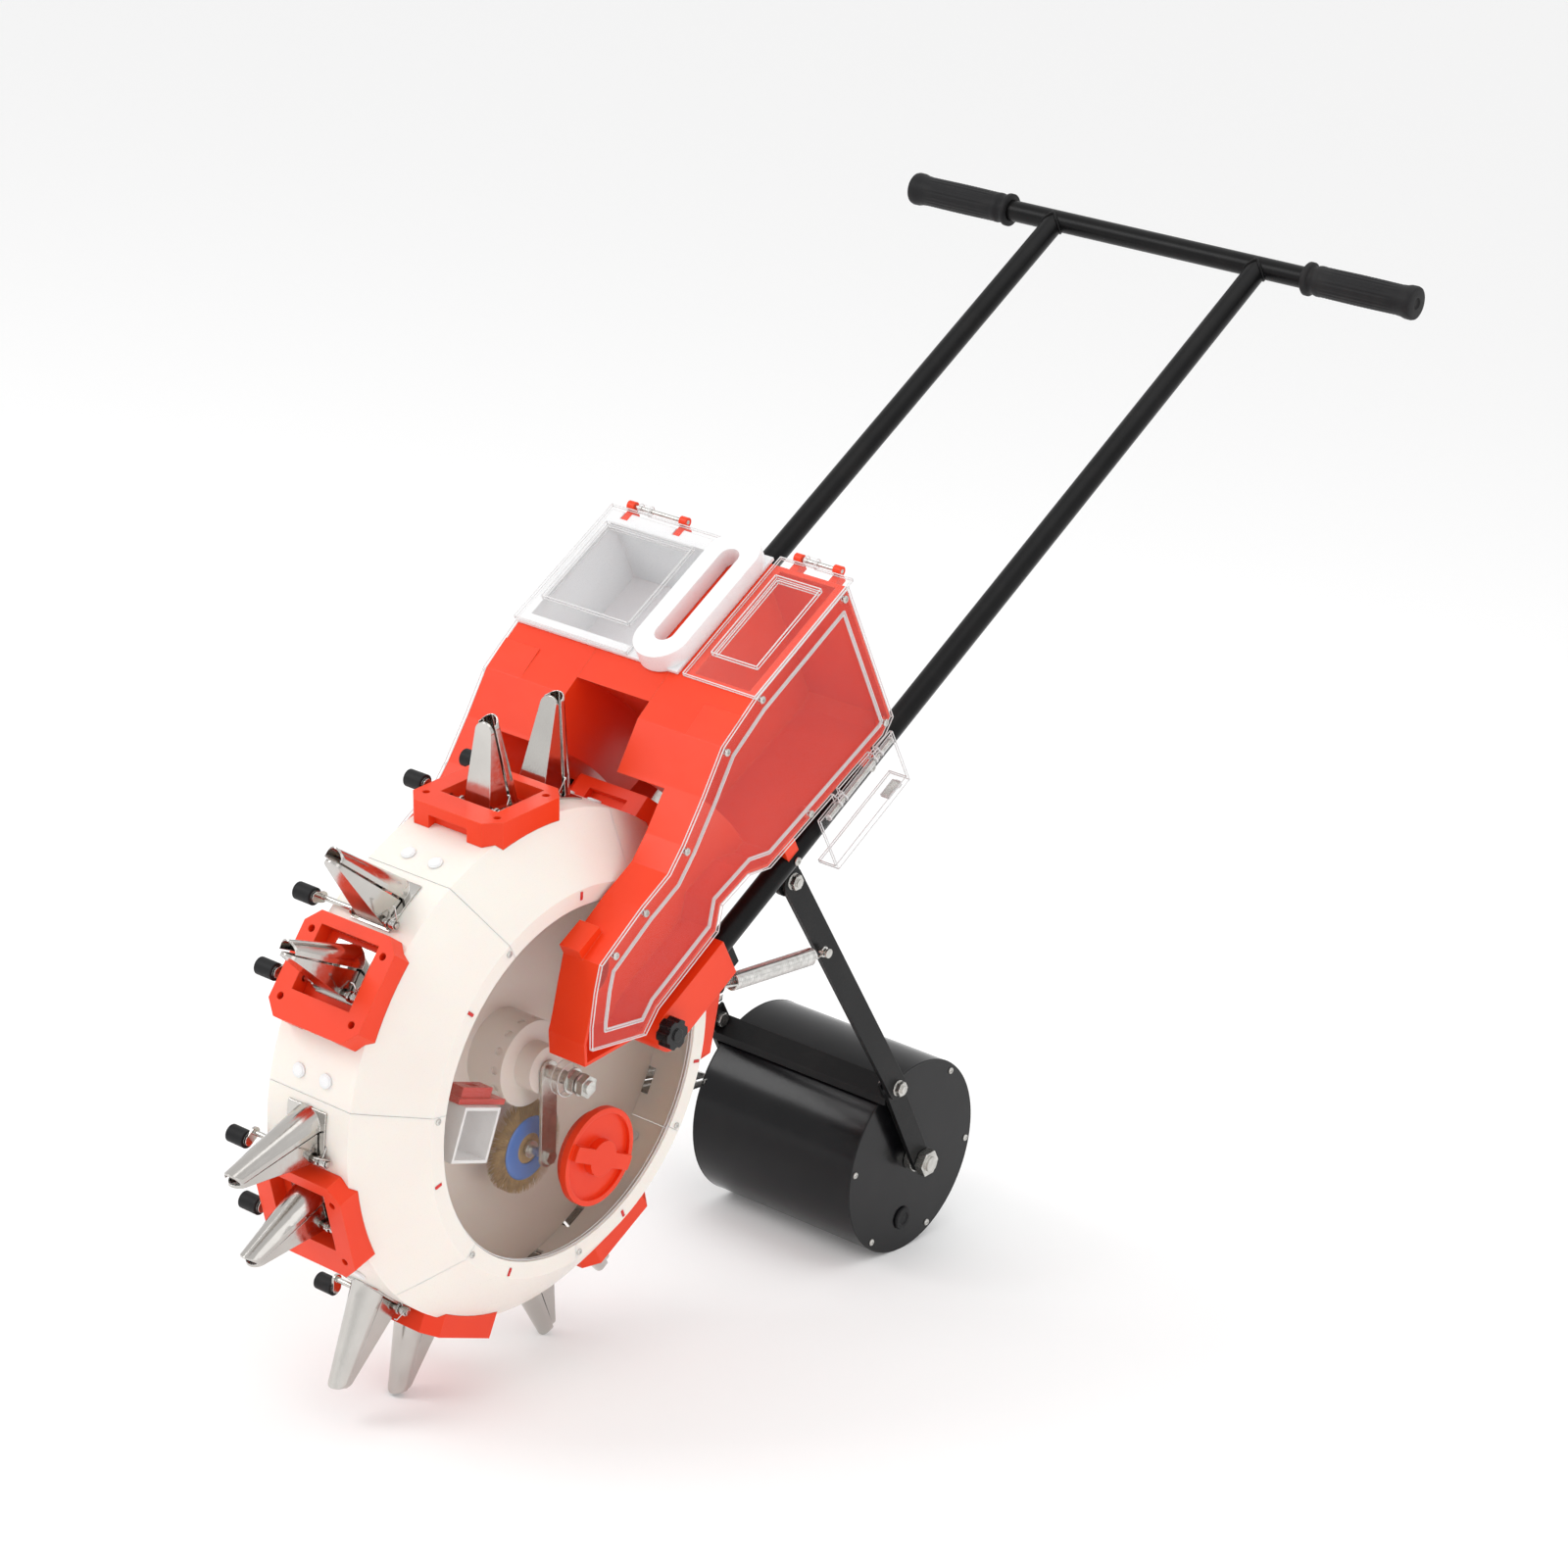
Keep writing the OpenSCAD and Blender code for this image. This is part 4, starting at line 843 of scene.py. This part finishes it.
@dataclass
class BristleWheel:
    """Bristles on a wooden core held by a blue ring."""

    centre_r: float = 84.4
    centre_angle: float = 277.0
    x0: float = 28.0
    x1: float = 41.0
    outer: float = 43.6
    core: float = 29.0
    around_count: int = 150
    rows: int = 7
    row_inset: float = 1.2
    hair_r: float = 0.42
    stray: float = 0.01
    splay: float = 0.05
    shortest: float = 0.94
    bore: float = 4.3
    core_inset: float = 0.4
    core_skin: float = 0.6
    ring: tuple[Pair, ...] = (
        (14.5, -0.6), (14.5, 0.6), (15.7, 1.0), (27.0, 1.0), (28.6, 0.5), (30.2, -0.6), (14.5, -0.6))
    seed: int = 11

    def build(self) -> None:
        """Makes the bristles, the core and the ring."""
        shuffle = random.Random(self.seed)
        centre = LAYOUT.around(0, self.centre_r, 0, self.centre_angle)
        bristle = TEMPLATES.bristle(self.outer - self.core, self.hair_r)
        spots = []
        for row in range(self.rows):
            x = self.x0 + self.row_inset + (self.x1 - self.x0 - 2 * self.row_inset) * row / (self.rows - 1)
            for i in range(self.around_count):
                a = part_turn(i + 0.5 * (row % 2), self.around_count)
                a += shuffle.uniform(-self.stray, self.stray)
                spot = on_ring(centre, x, self.core, a)
                splay = shuffle.uniform(-self.splay, self.splay)
                turn = (Matrix.Rotation(a, 3, "X") @ Matrix.Rotation(pi / 2 + splay, 3, "Z")).to_euler()
                spots.append((spot, turn, shuffle.uniform(self.shortest, 1.0)))
        settle(TREES.rows("bristle_tufts", bristle, spots, Look.BRISTLE), "brush", "bristle", "brush_wheel")
        low, high, rim = self.x0 + self.core_inset, self.x1 - self.core_inset, self.core + self.core_skin
        core = lathe_x("bristle_core", [
            (self.bore, low), (rim, low), (rim, high), (self.bore, high), (self.bore, low)], centre, 64)
        WARDROBE.dress(core, Look.BRISTLE)
        settle(keep_creases(core), "brush", "bristle", "brush_wheel")
        for label, side, x in (("outer", 1, self.x1), ("inner", -1, self.x0)):
            ring = lathe_x(f"brush_ring_{label}", [(r, x + side * out) for r, out in self.ring], centre, 64)
            WARDROBE.dress(ring, Look.BLUE)
            settle(keep_creases(ring), "brush", "bristle", "brush_wheel")


@dataclass
class Fasteners:
    """Cross-recessed screws, nut pads and the roller's plug in place of the plain CAD ones."""

    head: Pair = (3.6, 2.1)
    cover_screws: tuple[Pair, ...] = (
        (316, 188.5), (258, 180), (176, 137), (110, 127.2), (63, 122.5), (320, 35), (446, 188.5), (441, 33))
    cover_face: float = 139.7
    tube_screws: tuple[float, ...] = (290.0, 412.0)
    tube_face: float = 134.0
    tube_size: float = 1.15
    flank: float = 92.0
    seam_r: float = 175.5
    seam_turn: float = 1.3
    seam_size: float = 0.84
    pad: Triple = (7.8, 3.0, 2.0)
    pad_r: float = 176.0
    pad_turn: float = 21.4
    pad_sink: float = 1.2
    roller_screws: int = 6
    roller_screw_r: float = 94.0
    roller_turn: float = 57.6
    roller_size: float = 0.95

    def build(self) -> None:
        """Makes all fasteners, one piece for each body and finish."""
        head = TEMPLATES.pan_head(*self.head)
        self.frame_heads(head)
        self.seam_heads(head)
        self.roller_heads(head)
        self.filler_plug()

    def frame_heads(self, head: Object) -> None:
        """Screws of the side covers and of the handle tubes."""
        spots = []
        for side, _ in SIDES:
            spots += [(LAYOUT.leaned(side * self.cover_face, u, v), facing(side), 1.0)
                      for u, v in self.cover_screws]
            spots += [(LAYOUT.leaned(side * self.tube_face, u, 0), facing(side), self.tube_size)
                      for u in self.tube_screws]
        settle(TREES.rows("cover_screw_heads", head, spots, Look.ZINC), "frame", "zinc", "frame_screws")

    def seam_heads(self, head: Object) -> None:
        """Screws and nut pads at the seams of the drum's segments."""
        spots = []
        pads = []
        pad = TEMPLATES.pad(*self.pad)
        for k in range(LAYOUT.segments):
            for side, _ in SIDES:
                spot = LAYOUT.around(side * self.flank, self.seam_r, 0, LAYOUT.seam(k) + self.seam_turn)
                spots.append((spot, facing(side), self.seam_size))
                angle = LAYOUT.seam(k) + self.pad_turn
                turn = Matrix.Rotation(radians(angle), 3, "X") @ facing(side).to_matrix()
                spot = LAYOUT.around(side * (self.flank - self.pad_sink), self.pad_r, 0, angle)
                pads.append((spot, turn.to_euler(), 1.0))
        settle(TREES.rows("seam_screw_heads", head, spots, Look.ZINC), "drum", "zinc", "segment_screws")
        settle(TREES.rows("seam_nut_pads", pad, pads, Look.RED), "drum", "red_plastic", "segment_screws")

    def roller_heads(self, head: Object) -> None:
        """Screws around the press roller's end plates."""
        spots = []
        for side, _ in SIDES:
            for k in range(self.roller_screws):
                angle = radians(self.roller_turn + 360 / self.roller_screws * k)
                spot = on_ring(LAYOUT.roller_centre, side * LAYOUT.roller_half, self.roller_screw_r, angle)
                spots.append((spot, facing(side), self.roller_size))
        settle(TREES.rows("roller_screw_heads", head, spots, Look.ZINC), "roller", "zinc", "roller_screws")

    def filler_plug(self) -> None:
        """Rubber plug in the press roller's right end plate."""
        plug = lathe_x("roller_filler_plug", [
            (0, 92.8), (7.9, 92.8), (7.9, 98.7), (12, 98.8), (12, 100.4), (11, 101.6), (7, 101.7), (6, 100.6),
            (2, 100.6), (0, 101.0)], LAYOUT.roller_centre + Vector((0, -2, -66)) * MM, 40)
        WARDROBE.dress(plug, Look.RUBBER)
        settle(keep_creases(plug), "roller", "rubber", "roller_screws")


@dataclass
class SaddleFloors:
    """Orange skin inside each saddle block, around the base plate of its mouth."""

    wall_r: float = 236.13
    skin: float = 0.3
    outer: Box = (-32.8, 32.8, -27.8, 31.8)
    inner: Box = (-22.3, 22.3, -23.3, 25.3)

    def strip(self, angle: float, box: Box, steps: int = 8) -> Object:
        """Curved strip on the drum's wall.

        Args:
            angle: Angle of the block's spoke.
            box: Least and greatest x, then least and greatest offset across the spoke.
            steps: Faces along the curve.

        Returns:
            The strip as a closed piece.
        """
        x0, x1, t0, t1 = box
        verts: list[Vector] = []
        for i in range(steps + 1):
            bend = degrees(asin((t0 + (t1 - t0) * i / steps) / self.wall_r))
            for r in (self.wall_r, self.wall_r + self.skin):
                verts += [LAYOUT.around(x, r, 0, angle + bend) for x in (x0, x1)]
        faces = [(0, 1, 3, 2), tuple(4 * steps + i for i in (0, 1, 3, 2))]
        for i in range(steps):
            for a, b in ((0, 1), (1, 3), (3, 2), (2, 0)):
                faces.append((4 * i + a, 4 * i + b, 4 * i + 4 + b, 4 * i + 4 + a))
        return outward(mesh_object("saddle_strip", verts, faces=faces))

    def build(self) -> None:
        """Makes the skins of all blocks as one piece on the drum."""
        x0, x1, t0, t1 = self.outer
        u0, u1, w0, w1 = self.inner
        whole = bmesh.new()
        for k in range(LAYOUT.segments):
            angle = LAYOUT.seam(k) + LAYOUT.seed_phase
            for box in ((x0, u0, t0, t1), (u1, x1, t0, t1), (u0, u1, t0, w0), (u0, u1, w1, t1)):
                piece = self.strip(angle, box)
                whole.from_mesh(piece.data)
                bpy.data.objects.remove(piece)
        obj = mesh_object("saddle_floors", [])
        whole.to_mesh(obj.data)
        whole.free()
        WARDROBE.dress(obj, Look.ORANGE)
        settle(keep_creases(obj), "drum", "orange_plastic")


@dataclass
class ClearEdges:
    """White wires along the sharp edges of the clear parts, a painted highlight of their bright edges."""

    nodes: dict[str, Object]
    bodies: dict[str, str] = field(default_factory=lambda: {
        **dict.fromkeys(both("side_cover") + both("side_window"), "frame"), "lid_right": "lid_r",
        "lid_left": "lid_l", "door_right": "door_r", "door_left": "door_l"})
    radius: float = 0.55
    crease: float = 40.0

    @staticmethod
    def merged(mesh: bpy.types.Mesh) -> bmesh.types.BMesh:
        """Copy of a mesh with its doubles merged, to be freed by the caller."""
        grid = bmesh.new()
        grid.from_mesh(mesh)
        bmesh.ops.remove_doubles(grid, verts=grid.verts, dist=EDGE_MERGE_DISTANCE)
        return grid

    def build(self) -> None:
        """Makes the edge wires of every clear part."""
        for name, body in self.bodies.items():
            grid = self.merged(self.nodes[name].data)
            sharp = [e for e in grid.edges if len(e.link_faces) == 2
                     and e.calc_face_angle(0.0) > radians(self.crease)]
            chains = [[v.co.copy() for v in e.verts] for e in sharp]
            grid.free()
            obj = chains_object(f"{name}_edge", chains)
            grid = self.merged(obj.data)
            grid.to_mesh(obj.data)
            grid.free()
            values = {"Radius": self.radius * MM, "Sides": 6, "Material": WARDROBE.get(Look.FROSTED)}
            TREES.run(obj, TREES.wire, values)
            WARDROBE.dress(obj, Look.FROSTED)
            settle(obj, body, "clear_plastic")


@dataclass
class Grips:
    """Rubber grips with a collar, fine ribs and a closed end."""

    inner: float = 179.0
    flutes: int = 24
    flute_depth: float = 0.55
    flute_steps: int = 6
    body_r: float = 15.15
    body_span: Pair = (18.5, 106.0)
    body_steps: int = 46
    swell: float = 0.35
    ripples: int = 22
    ripple: float = 0.16
    fade: float = 6.0
    crease: float = 50.0

    def build(self) -> None:
        """Makes both grips as fluted sleeves."""
        for side, label in SIDES:
            obj = self.sleeve(f"grip_sleeve_{label}", side)
            WARDROBE.dress(obj, Look.RUBBER)
            settle(obj, "frame", "rubber", f"grip_{label}")

    def profile(self) -> list[Triple]:
        """Radius, distance along the grip and depth of the flutes for each ring."""
        rows = [(11.2, 0.0, 0.0), (16.0, 0.0, 0.0), (17.0, 1.0, 0.0), (17.0, 4.6, 0.0), (16.2, 5.6, 0.0),
                (14.0, 6.6, 0.0), (14.0, 10.6, 0.0), (15.1, 12.5, 0.0), (15.5, 14.5, 0.0), (15.5, 17.0, 0.0)]
        first, last = self.body_span
        for i in range(self.body_steps + 1):
            share = i / self.body_steps
            swell = self.swell * sin(pi * share)
            fade = min(1.0, self.fade * share, self.fade * (1 - share))
            ripple = self.ripple * cos(2 * pi * share * self.ripples)
            rows.append((self.body_r + swell + ripple, first + (last - first) * share,
                         self.flute_depth * fade))
        return rows + [(15.5, 108.0, 0.0), (15.6, 110.5, 0.0), (16.9, 115.5, 0.0), (17.0, 121.0, 0.0),
                       (16.2, 123.4, 0.0), (14.5, 124.0, 0.0), (6.0, 124.0, 0.0), (5.2, 122.6, 0.0),
                       (0.0, 122.6, 0.0)]

    def sleeve(self, name: str, side: int) -> Object:
        """Builds one sleeve from rings whose radius follows the profile and the flutes."""
        count = self.flutes * self.flute_steps
        centre = LAYOUT.leaned(0, LAYOUT.handle_reach, 0)
        verts: list[Vector] = []
        rows = self.profile()
        for radius, along, depth in rows:
            for i in range(count):
                a = part_turn(i, count)
                r = max(radius - depth * (0.5 - 0.5 * cos(self.flutes * a)), 0.0)
                verts.append(on_ring(centre, side * (self.inner + along), r, a))
        faces = []
        for start in range(0, (len(rows) - 1) * count, count):
            for i in range(count):
                j = (i + 1) % count
                faces.append((start + i, start + j, start + count + j, start + count + i))
        return keep_creases(outward(mesh_object(name, verts, faces=faces)), self.crease)


@dataclass
class SteelTrim:
    """Weld beads, threads and rolled rims of the steel parts."""

    bead_r: float = 1.6
    bead_steps: int = 48
    bead_spread: float = 1.03
    bead_sink: float = 0.4
    scales: int = 19
    scale_depth: float = 0.35
    thread_end: float = 110.0
    thread_r: float = 5.75
    thread_pitch: float = 1.25
    thread_turns: int = 12
    thread_wire: float = 0.5
    rim_r: float = 100.2
    rim_inset: float = 0.9
    rim_wire: float = 1.1
    rim_steps: int = 96

    def build(self) -> None:
        """Makes the beads on the handle, the thread on the axle and the rims of the roller."""
        beads = [self.bead(side) for side, _ in SIDES]
        wire = TREES.wires("handle_weld_beads", beads, self.bead_r, Look.POWDER, closed=True)
        settle(wire, "frame", "black_steel")
        threads = [helix(LAYOUT.axle(side * self.thread_end, 0, 0), Vector((-side, 0, 0)), self.thread_r,
                         self.thread_pitch, self.thread_turns) for side, _ in SIDES]
        settle(TREES.wires("axle_thread", threads, self.thread_wire, Look.ZINC, sides=6), "frame", "zinc")
        reach = LAYOUT.roller_half - self.rim_inset
        rims = [[on_ring(LAYOUT.roller_centre, x, self.rim_r, part_turn(i, self.rim_steps))
                 for i in range(self.rim_steps)] for x in (-reach, reach)]
        wire = TREES.wires("roller_rims", rims, self.rim_wire, Look.ROLLER, closed=True)
        settle(wire, "roller", "roller_black")

    def bead(self, side: int) -> Chain:
        """Centre line of the weld bead where a tube meets the crossbar, with the scales of the weld."""
        chain = []
        for i in range(self.bead_steps):
            a = part_turn(i, self.bead_steps)
            x = LAYOUT.tube_r * cos(a)
            v = LAYOUT.tube_r * sin(a)
            depth = sqrt(max(LAYOUT.tube_r ** 2 - v ** 2, 0.0))
            scale = self.scale_depth * sin(a * self.scales)
            chain.append(LAYOUT.leaned(side * LAYOUT.tube_x + x * self.bead_spread,
                                       LAYOUT.handle_reach - depth - self.bead_sink + scale,
                                       v * self.bead_spread))
        return chain


@dataclass
class Studio:
    """Pale floor, soft light and the camera."""

    lens: float = 91.07
    azimuth: float = 35.8
    elevation: float = 17.2
    roll: float = 6.9
    eye: Triple = (2.0997, -2.8278, 1.6005)
    sensor: float = 36.0
    sight: float = 200.0
    floor_half: float = 60.0
    floor_tone: float = 0.93
    floor_gloss: float = 0.8
    floor_light: float = 0.08
    sky_light: float = 0.88
    aim: Triple = (0.0, 0.0, 0.4)
    soft_boxes: tuple[tuple[str, Triple, float, float], ...] = (
        ("key", (-2.2, -2.6, 3.0), 48.0, 1.8), ("fill", (3.2, -1.4, 1.8), 14.0, 2.4),
        ("top", (0.4, 0.8, 3.6), 20.0, 2.6))

    def build(self) -> None:
        """Sets the stage."""
        self.floor()
        self.lights()
        self.camera()

    def floor(self) -> None:
        """Large pale floor."""
        corners = [Vector((x, y, 0)) * self.floor_half for x, y in ((-1, -1), (1, -1), (1, 1), (-1, 1))]
        obj = mesh_object("floor", corners, faces=[(0, 1, 2, 3)])
        mat = bpy.data.materials.new("pale_floor")
        mat.use_nodes = True
        shader = mat.node_tree.nodes["Principled BSDF"]
        shader.inputs["Base Color"].default_value = (self.floor_tone,) * 3 + (1,)
        shader.inputs["Roughness"].default_value = self.floor_gloss
        shader.inputs["Emission Color"].default_value = (1, 1, 1, 1)
        shader.inputs["Emission Strength"].default_value = self.floor_light
        obj.data.materials.append(mat)

    def lights(self) -> None:
        """Bright even surroundings with three soft boxes."""
        world = bpy.data.worlds.new("studio")
        bpy.context.scene.world = world
        world.use_nodes = True
        sky = world.node_tree.nodes["Background"]
        sky.inputs["Color"].default_value = (1, 1, 1, 1)
        sky.inputs["Strength"].default_value = self.sky_light
        for name, spot, power, size in self.soft_boxes:
            lamp = bpy.data.lights.new(name, "AREA")
            lamp.energy = power
            lamp.size = size
            obj = bpy.data.objects.new(name, lamp)
            obj.location = spot
            obj.rotation_euler = (Vector(self.aim) - Vector(spot)).to_track_quat("-Z", "Y").to_euler()
            bpy.context.scene.collection.objects.link(obj)

    def camera(self) -> None:
        """Camera at the chosen viewing angle."""
        a, e, r = (radians(v) for v in (self.azimuth, self.elevation, self.roll))
        back = Vector((sin(a) * cos(e), -cos(a) * cos(e), sin(e)))
        right = Vector((cos(a), sin(a), 0))
        up = back.cross(right)
        turned = right * cos(r) + up * sin(r)
        above = up * cos(r) - right * sin(r)
        lens = bpy.data.cameras.new("camera")
        lens.lens = self.lens
        lens.sensor_width = self.sensor
        lens.clip_end = self.sight
        obj = bpy.data.objects.new("camera", lens)
        obj.matrix_world = Matrix.Translation(self.eye) @ Matrix((turned, above, back)).transposed().to_4x4()
        bpy.context.scene.collection.objects.link(obj)
        bpy.context.scene.camera = obj


def main() -> None:
    """Builds every sub-assembly around the frame and reports each piece."""
    logging.basicConfig(level=logging.INFO, format="%(name)s: %(message)s")
    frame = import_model()
    bpy.context.scene.view_settings.view_transform = "Standard"
    nodes = frame["nodes"]
    Studio().build()
    CarriedNodes(nodes).dress()
    TensionSprings().build()
    MouthSprings().build()
    BristleWheel().build()
    Fasteners().build()
    SaddleFloors().build()
    ClearEdges(nodes).build()
    Grips().build()
    SteelTrim().build()
    TEMPLATES.clear()


if __name__ == "__main__":
    main()
